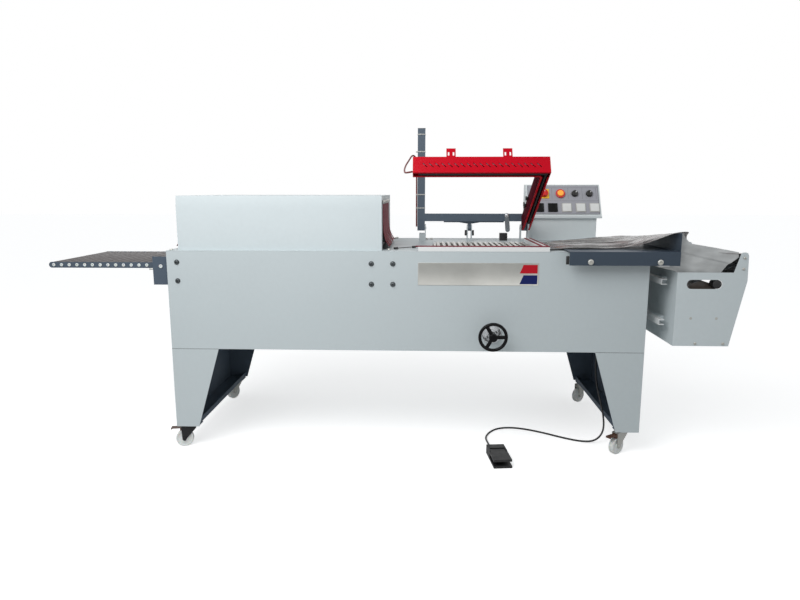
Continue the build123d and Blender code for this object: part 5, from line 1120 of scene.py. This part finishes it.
class SEALER_OT_fittings(bpy.types.Operator):
    """Wing knobs, pins, and dark pieces of painted shade on the arm and in the carriage's handle
    slot, that are bolted to the machine
    """

    bl_idname = "sealer.fittings"
    bl_label = "Fittings"

    def execute(self, context):
        self.post_knobs()
        self.arm_knobs()
        # Black plate that makes the carriage's right side dark between its cheeks
        black_plate = plate_of(BIN_BLACK_PLATE, *BLACK_PLATE_ENDS)
        place_piece(black_plate, "carriage_side_black_plate", "carriage", "black")
        # Black disc in the carriage's handle slot: painted shade of the dark inside
        slot_shade = rounded(add_rod((1352.6, -478.5, 803), (1352.6, -438, 803), 19.2, 48), 1.5, 3)
        place_piece(slot_shade, "handle_slot_shade", "carriage", "black")
        stop = rounded(add_box(696, 709.8, -499.6, -491.4, 889, 926), 3, 4)
        place_piece(stop, "tray_bar_end", "film_tray", "black")
        pin = joined([
            rounded(add_rod((-1172, -402, 850), (-1150.2, -402, 850), 4.2, 24), 0.8, 2),
            rounded(add_rod((-1154, -402, 850), (-1150.2, -402, 850), 7, 6), 0.6, 2),
        ])
        place_piece(pin, "tray_stop_pin", "base", "zinc")
        link = joined([
            rounded(add_rod((-44, -352, 944.2), (54, -268, 944.2), 1.7, 16), 0.5, 1),
            rounded(add_rod((-52, -359, 944.2), (-36, -345, 944.2), 5, 20), 1.0, 2),
            rounded(add_rod((30, -288, 944.2), (44, -276, 944.2), 5, 20), 1.0, 2),
        ])
        place_piece(link, "jaw_feed_link", "base", "black")
        seams = joined([
            add_box(x0, x1, PANEL_Y - 0.3, PANEL_Y + 0.1, 484.2, 485.7)
            for x0, x1 in ((-1074, -858), (858, 1074))
        ])
        place_piece(seams, "skirt_seams", "base", "ink")
        return {"FINISHED"}

    def post_knobs(self):
        """Three-lobed knobs over the studs of the middle post."""
        knobs = []
        for way in (-1, 1):
            near = POST_X + way * 13.6
            far = near + way * 11
            lobes = [add_rod((near, HINGE_Y, STUD_Z), (far, HINGE_Y, STUD_Z), 9, 32)]
            for angle in (90, 210, 330):
                y = HINGE_Y + 11.5 * math.cos(math.radians(angle))
                z = STUD_Z + 11.5 * math.sin(math.radians(angle))
                lobes.append(add_rod((near, y, z), (far, y, z), 6, 24))
            knobs += [rounded(lobe, 1.5, 3) for lobe in lobes]
        place_piece(joined(knobs), "post_knobs", "base", "black")

    def arm_knobs(self):
        """Wing knobs on the inner side of the head's arm."""
        knobs = joined([
            wing_knob(600, -22, 1026, -1, 17), wing_knob(600, -93, 1027, -1, 11),
        ])
        place_piece(raise_head(knobs), "arm_knobs", "head", "black")
        # Dark maroon sheet on the arm's inner side: painted shade of that side
        shade_sheet = raise_head(rounded(add_box(599, 599.9, -401, 138, 967, 1042.5), 0.3, 2))
        place_piece(shade_sheet, "arm_shade_sheet", "head", "maroon")


# Bolts on the front panel and the carriage in x and z, and on the table in x and y
PANEL_BOLTS = (
    (-1028, 886), (-1028, 801), (-150, 882), (-150, 790), (-54, 882), (-54, 790),
)
CARRIAGE_BOLTS = ((1457, 918), (1456, 871), (1276, 541), (1396, 541))
TABLE_BOLTS = (
    (-68, 362), (98, 291), (125, 292), (-75, -380), (-75, 330), (-1055, -425), (-1055, 350),
    (1050, 350),
)


class SEALER_OT_bolts(bpy.types.Operator):
    """Bolts on the front panel, film tray, carriage and table"""

    bl_idname = "sealer.bolts"
    bl_label = "Bolts"

    def execute(self, context):
        radius = sizes().bolt_head * 1000
        ring = washer(radius + 3.5, 1.4, FRONTWARD)
        rings = spread(ring, [(x, PANEL_Y, z) for x, z in PANEL_BOLTS])
        head = dome_bolt(radius, 6.5, FRONTWARD)
        heads = spread(head, [(x, PANEL_Y - 1.2, z) for x, z in PANEL_BOLTS])
        place_piece(joined([rings, heads]), "panel_bolts", "base", "bolt")
        tray = spread(dome_bolt(12.5, 8, FRONTWARD), [(x, -500, 900) for x in (800, 1095)])
        place_piece(tray, "film_tray_bolts", "film_tray", "zinc")
        cheek = spread(dome_bolt(6.5, 4, FRONTWARD), [(x, -480.4, z) for x, z in CARRIAGE_BOLTS])
        place_piece(cheek, "carriage_bolts", "carriage", "zinc")
        caps = spread(dome_bolt(8, 7, UPWARD), [(x, y, TABLE_Z) for x, y in TABLE_BOLTS])
        place_piece(caps, "table_bolts", "base", "zinc")
        return {"FINISHED"}


class SEALER_OT_name_plate(bpy.types.Operator):
    """Bare name plate with a raised border and two plain colour blocks"""

    bl_idname = "sealer.name_plate"
    bl_label = "Name Plate"

    def execute(self, context):
        plate = add_box(58, 592, PANEL_Y - 1.2, PANEL_Y, 787, 888)
        sink(plate, FRONTWARD, 2.2, 0.5)
        place_piece(rounded(plate, 0.3, 2), "name_plate", "base", "plate")
        for name, z0, z1, material in (
            ("upper_block", 842, 880, "block_red"), ("lower_block", 794, 834, "block_blue"),
        ):
            block = add_box(520, 586, PANEL_Y - 1.15, PANEL_Y - 0.6, z0, z1)
            for vertex in block.data.vertices:
                if vertex.co.x < at(550, 0, 0).x:
                    vertex.co.x += (vertex.co.z - at(0, 0, z0).z) * 0.42 - 0.012
            place_piece(rounded(block, 0.15, 1), name, "base", material)
        return {"FINISHED"}


def on_face(x, row):
    """Matrix that puts a piece modelled flat at the body's middle on the console's face."""
    (y0, z0), (y1, z1) = FACE_FOOT, FACE_CREST
    lean = math.atan2(y1 - y0, z1 - z0)
    length = math.hypot(y1 - y0, z1 - z0)
    share = row / length
    place = at(x, y0 + share * (y1 - y0), z0 + share * (z1 - z0))
    tilt = Matrix.Rotation(math.pi / 2 - lean, 4, "X")
    return Matrix.Translation(place) @ tilt @ Matrix.Translation(-BODY_MIDDLE)


def fitted(piece, x, row):
    piece.data.transform(on_face(x, row))
    return piece


def face_box(half_x, half_row, high):
    """A box on the face's plate, at the body's middle."""
    return add_box(-half_x, half_x, -half_row, half_row, FACE_PLATE, FACE_PLATE + high)


def tick_ring(radius, long, reach, count):
    """Scale marks round a dial, to an angle on both sides of its top."""
    marks = []
    for index in range(count):
        angle = math.radians(-reach + 2 * reach * index / (count - 1))
        mark = add_box(-0.5, 0.5, radius, radius + long, FACE_PLATE, FACE_PLATE + 0.25)
        mark.data.transform(turned_about((0, 0, 0), angle, "Z"))
        marks.append(mark)
    return joined(marks)


class SEALER_OT_console(bpy.types.Operator):
    """Colour plates, windows, frames and scale marks of the console"""

    bl_idname = "sealer.console"
    bl_label = "Console"

    def execute(self, context):
        plate = fitted(rounded(face_box(28.3, 28.3, 3.3), 0.8, 2), SWITCH_X, UPPER_ROW)
        place_piece(plate, "main_switch_plate", "base", "yellow")
        ring = fitted(self.lamp_ring(), LAMP_X, UPPER_ROW)
        place_piece(ring, "lamp_ring", "base", "red_knob")
        for index, x in enumerate(DISPLAYS_X, 1):
            window = rounded(sink(face_box(25.3, 25.3, 5.3), UPWARD, 4.5, 0.2), 0.6, 2)
            place_piece(
                fitted(window, x, LOWER_ROW), f"display_{index}", "base", "window"
            )
        frames = []
        for x in PUSHES_X:
            rim = rounded(sink(face_box(26.3, 26.3, 3.8), UPWARD, 3, 3.4), 0.4, 2)
            frames.append(fitted(rim, x, LOWER_ROW))
        place_piece(joined(frames), "push_frames", "base", "frame_grey")
        marks = [fitted(tick_ring(20, 3.5, 135, 11), x, UPPER_ROW) for _, x in DIALS_X]
        place_piece(joined(marks), "dial_scales", "base", "ink")
        self.dividers()
        self.pointers()
        return {"FINISHED"}

    def lamp_ring(self):
        """Red ring with a bevelled lip, open in the middle for the lens."""
        ring = add_rod((0, 0, FACE_PLATE), (0, 0, FACE_PLATE + 9.4), 25.4, 48)
        mesh = edit(ring, "FACE")
        for face in mesh.faces:
            face.select = len(face.verts) == 48
        bpy.ops.mesh.inset(thickness=0.0081)
        bpy.ops.mesh.bridge_edge_loops()
        leave(ring)
        return rounded(ring, 2, 4)

    def dividers(self):
        """Thin dark lines that divide the face into fields: x, row, and half sizes."""
        lines = [(x, 132, 0.45, 34) for x in (780, 867, 944, 1018)]
        lines += [(862, row, 166, 0.45) for row in (86, 166)]
        lines += [(x, 93, 0.6, 88) for x in (651, 1029)]
        lines += [(840, row, 189, 0.6) for row in (7, 179)]
        marks = [fitted(face_box(wide, high, 0.2), x, row) for x, row, wide, high in lines]
        place_piece(joined(marks), "face_lines", "base", "ink")

    def pointers(self):
        """White pointer inlays on the two dials and the main switch."""
        top = FACE_PLATE + 17.5
        for name, x in DIALS_X:
            inlay = add_box(-2.6, 2.6, 5.5, 14, top - 5.4, top - 4.3)
            inlay.data.transform(turned_about((0, 0, 0), math.radians(-40), "Z"))
            rounded(inlay, 0.2, 1)
            place_piece(
                fitted(inlay, x, UPPER_ROW), name + "_pointer", name, "white_cap"
            )
        low = FACE_PLATE + 27.5
        inlay = rounded(add_box(-2.4, 2.4, 3, 18.5, low - 0.4, low + 0.35), 0.2, 1)
        place_piece(
            fitted(inlay, SWITCH_X, UPPER_ROW), "main_switch_pointer", "main_switch",
            "white_cap",
        )


# Ties round the mast: height, and how far left they reach, the lower ones round the cable too
TIES = ((1495, 46.6), (1406, 38.4), (1183, 38.4), (1112, 38.4))


class SEALER_OT_head_details(bpy.types.Operator):
    """Cable ties on the mast, its cap, and the cam lever's pivot bolt"""

    bl_idname = "sealer.head_details"
    bl_label = "Head Details"

    def execute(self, context):
        ties = []
        for z, left in TIES:
            band = add_box(left, 89.4, 178.6, 221.4, z - 2.2, z + 2.2)
            ties.append(rounded(band, 0.7, 3))
            ties.append(rounded(add_box(61, 67, 175.8, 178.8, z - 3.2, z + 3.2), 0.8, 2))
        place_piece(joined(ties), "mast_ties", "head", "frame_grey")
        cap = rounded(add_box(47.6, 88.4, 179.6, 220.4, 1524.5, 1526.4), 0.5, 2)
        place_piece(cap, "mast_cap", "head", "black")
        lever_bolt = joined([washer(10.5, 2, FRONTWARD), dome_bolt(6.5, 6, FRONTWARD)])
        lever_bolt.data.transform(shift(523.6, 173.9, 1073.9))
        place_piece(lever_bolt, "cam_lever_bolt", "head", "chrome")
        return {"FINISHED"}


class SEALER_OT_handwheel(bpy.types.Operator):
    """Three-spoke handwheel and the chrome dish behind it"""

    bl_idname = "sealer.handwheel"
    bl_label = "Handwheel"

    def execute(self, context):
        deselect()
        bpy.ops.mesh.primitive_torus_add(
            major_radius=0.058, minor_radius=0.0072, major_segments=72, minor_segments=20,
            rotation=(math.pi / 2, 0, 0), location=at(WHEEL_X, RIM_Y, WHEEL_Z),
        )
        parts = [smooth(settle(bpy.context.object), 60)]
        parts.append(rounded(self.shaft(-531, -498, 19, 40), 5, 5))
        middle = at(WHEEL_X, RIM_Y, WHEEL_Z + 32)
        for angle in (90, 210, 330):
            spoke = add_rod((WHEEL_X, RIM_Y, WHEEL_Z + 10), (WHEEL_X, RIM_Y, WHEEL_Z + 56), 5.6, 24)
            edit(spoke)
            bpy.ops.mesh.select_all(action="SELECT")
            bpy.ops.transform.resize(value=(1.5, 1.0, 1.0), center_override=middle)
            leave(spoke)
            turn = turned_about((WHEEL_X, RIM_Y, WHEEL_Z), math.radians(angle), "Y")
            spoke.data.transform(turn)
            parts.append(smooth(spoke, 50))
        parts.append(smooth(self.shaft(-498, -466, 7, 24)))
        wheel = joined(parts)
        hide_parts("handwheel")
        place_piece(wheel, "handwheel_wheel", "handwheel", "bakelite")
        self.dish()
        return {"FINISHED"}

    def shaft(self, y0, y1, radius, sides):
        """A step of the shaft, between two places in y."""
        return add_rod((WHEEL_X, y0, WHEEL_Z), (WHEEL_X, y1, WHEEL_Z), radius, sides)

    def dish(self):
        """Polished flange turned in steps round the shaft."""
        steps = ((PANEL_Y, -446.5, 44), (-446.5, -452, 30), (-452, -466, 18.6))
        rings = [rounded(self.shaft(a, b, r, 56), 1.6, 4) for a, b, r in steps]
        place_piece(joined(rings), "handwheel_dish", "base", "chrome")


class SEALER_OT_exit_rollers(bpy.types.Operator):
    """Plastic rollers of the exit tray, and the dome bolts on their axles"""

    bl_idname = "sealer.exit_rollers"
    bl_label = "Exit Rollers"

    def execute(self, context):
        front, rear = ROLLER_ENDS
        roller = rounded(add_rod((0, front, 0), (0, rear, 0), 14, 40), 1.2, 3)
        places = [(ROLLER_X + index * ROLLER_PITCH, ROLLER_Z) for index in range(ROLLER_COUNT)]
        rollers = spread(roller, [(x, 0, z) for x, z in places])
        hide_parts("exit_rollers")
        place_piece(rollers, "tray_rollers", "exit_tray", "roller")
        bolts = joined([
            spread(dome_bolt(7.6, 5, (0, way, 0)), [(x, y + way * 3.5, z) for x, z in places])
            for y, way in ((front, -1), (rear, 1))
        ])
        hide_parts("exit_rollers")
        place_piece(bolts, "tray_roller_bolts", "exit_tray", "nylon")
        pivot = spread(dome_bolt(8.5, 5, FRONTWARD), [(-1112, -415, 864)])
        place_piece(pivot, "tray_pivot_bolt", "base", "nylon")
        return {"FINISHED"}


OPERATORS = (
    SEALER_OT_stage, SEALER_OT_cords, SEALER_OT_finishes, SEALER_OT_curtains, SEALER_OT_bolts,
    SEALER_OT_name_plate, SEALER_OT_console, SEALER_OT_head_details, SEALER_OT_handwheel,
    SEALER_OT_exit_rollers, SEALER_OT_film, SEALER_OT_fittings,
)


class SEALER_PT_panel(bpy.types.Panel):
    """Lists the machine's pieces in the sidebar"""

    bl_label = "L Bar Sealer"
    bl_idname = "SEALER_PT_panel"
    bl_space_type = "VIEW_3D"
    bl_region_type = "UI"
    bl_category = "Sealer"

    def draw(self, context):
        for group in (context.scene.sealer_colours, context.scene.sealer_sizes):
            box = self.layout.box()
            for name in group.__annotations__:
                box.prop(group, name)
        for operator in OPERATORS:
            self.layout.operator(operator.bl_idname)


CLASSES = (SealerColours, SealerSizes, *OPERATORS, SEALER_PT_panel)


def register():
    for cls in CLASSES:
        bpy.utils.register_class(cls)
    bpy.types.Scene.sealer_colours = PointerProperty(type=SealerColours)
    bpy.types.Scene.sealer_sizes = PointerProperty(type=SealerSizes)


def unregister():
    del bpy.types.Scene.sealer_sizes
    del bpy.types.Scene.sealer_colours
    for cls in reversed(CLASSES):
        bpy.utils.unregister_class(cls)


def run(name):
    """Call one of the machine's operators by its short name."""
    getattr(bpy.ops.sealer, name)()


def main():
    register()
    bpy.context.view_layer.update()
    make_materials()
    for operator in OPERATORS:
        run(operator.bl_idname.split(".")[1])


if __name__ == "__main__":
    main()
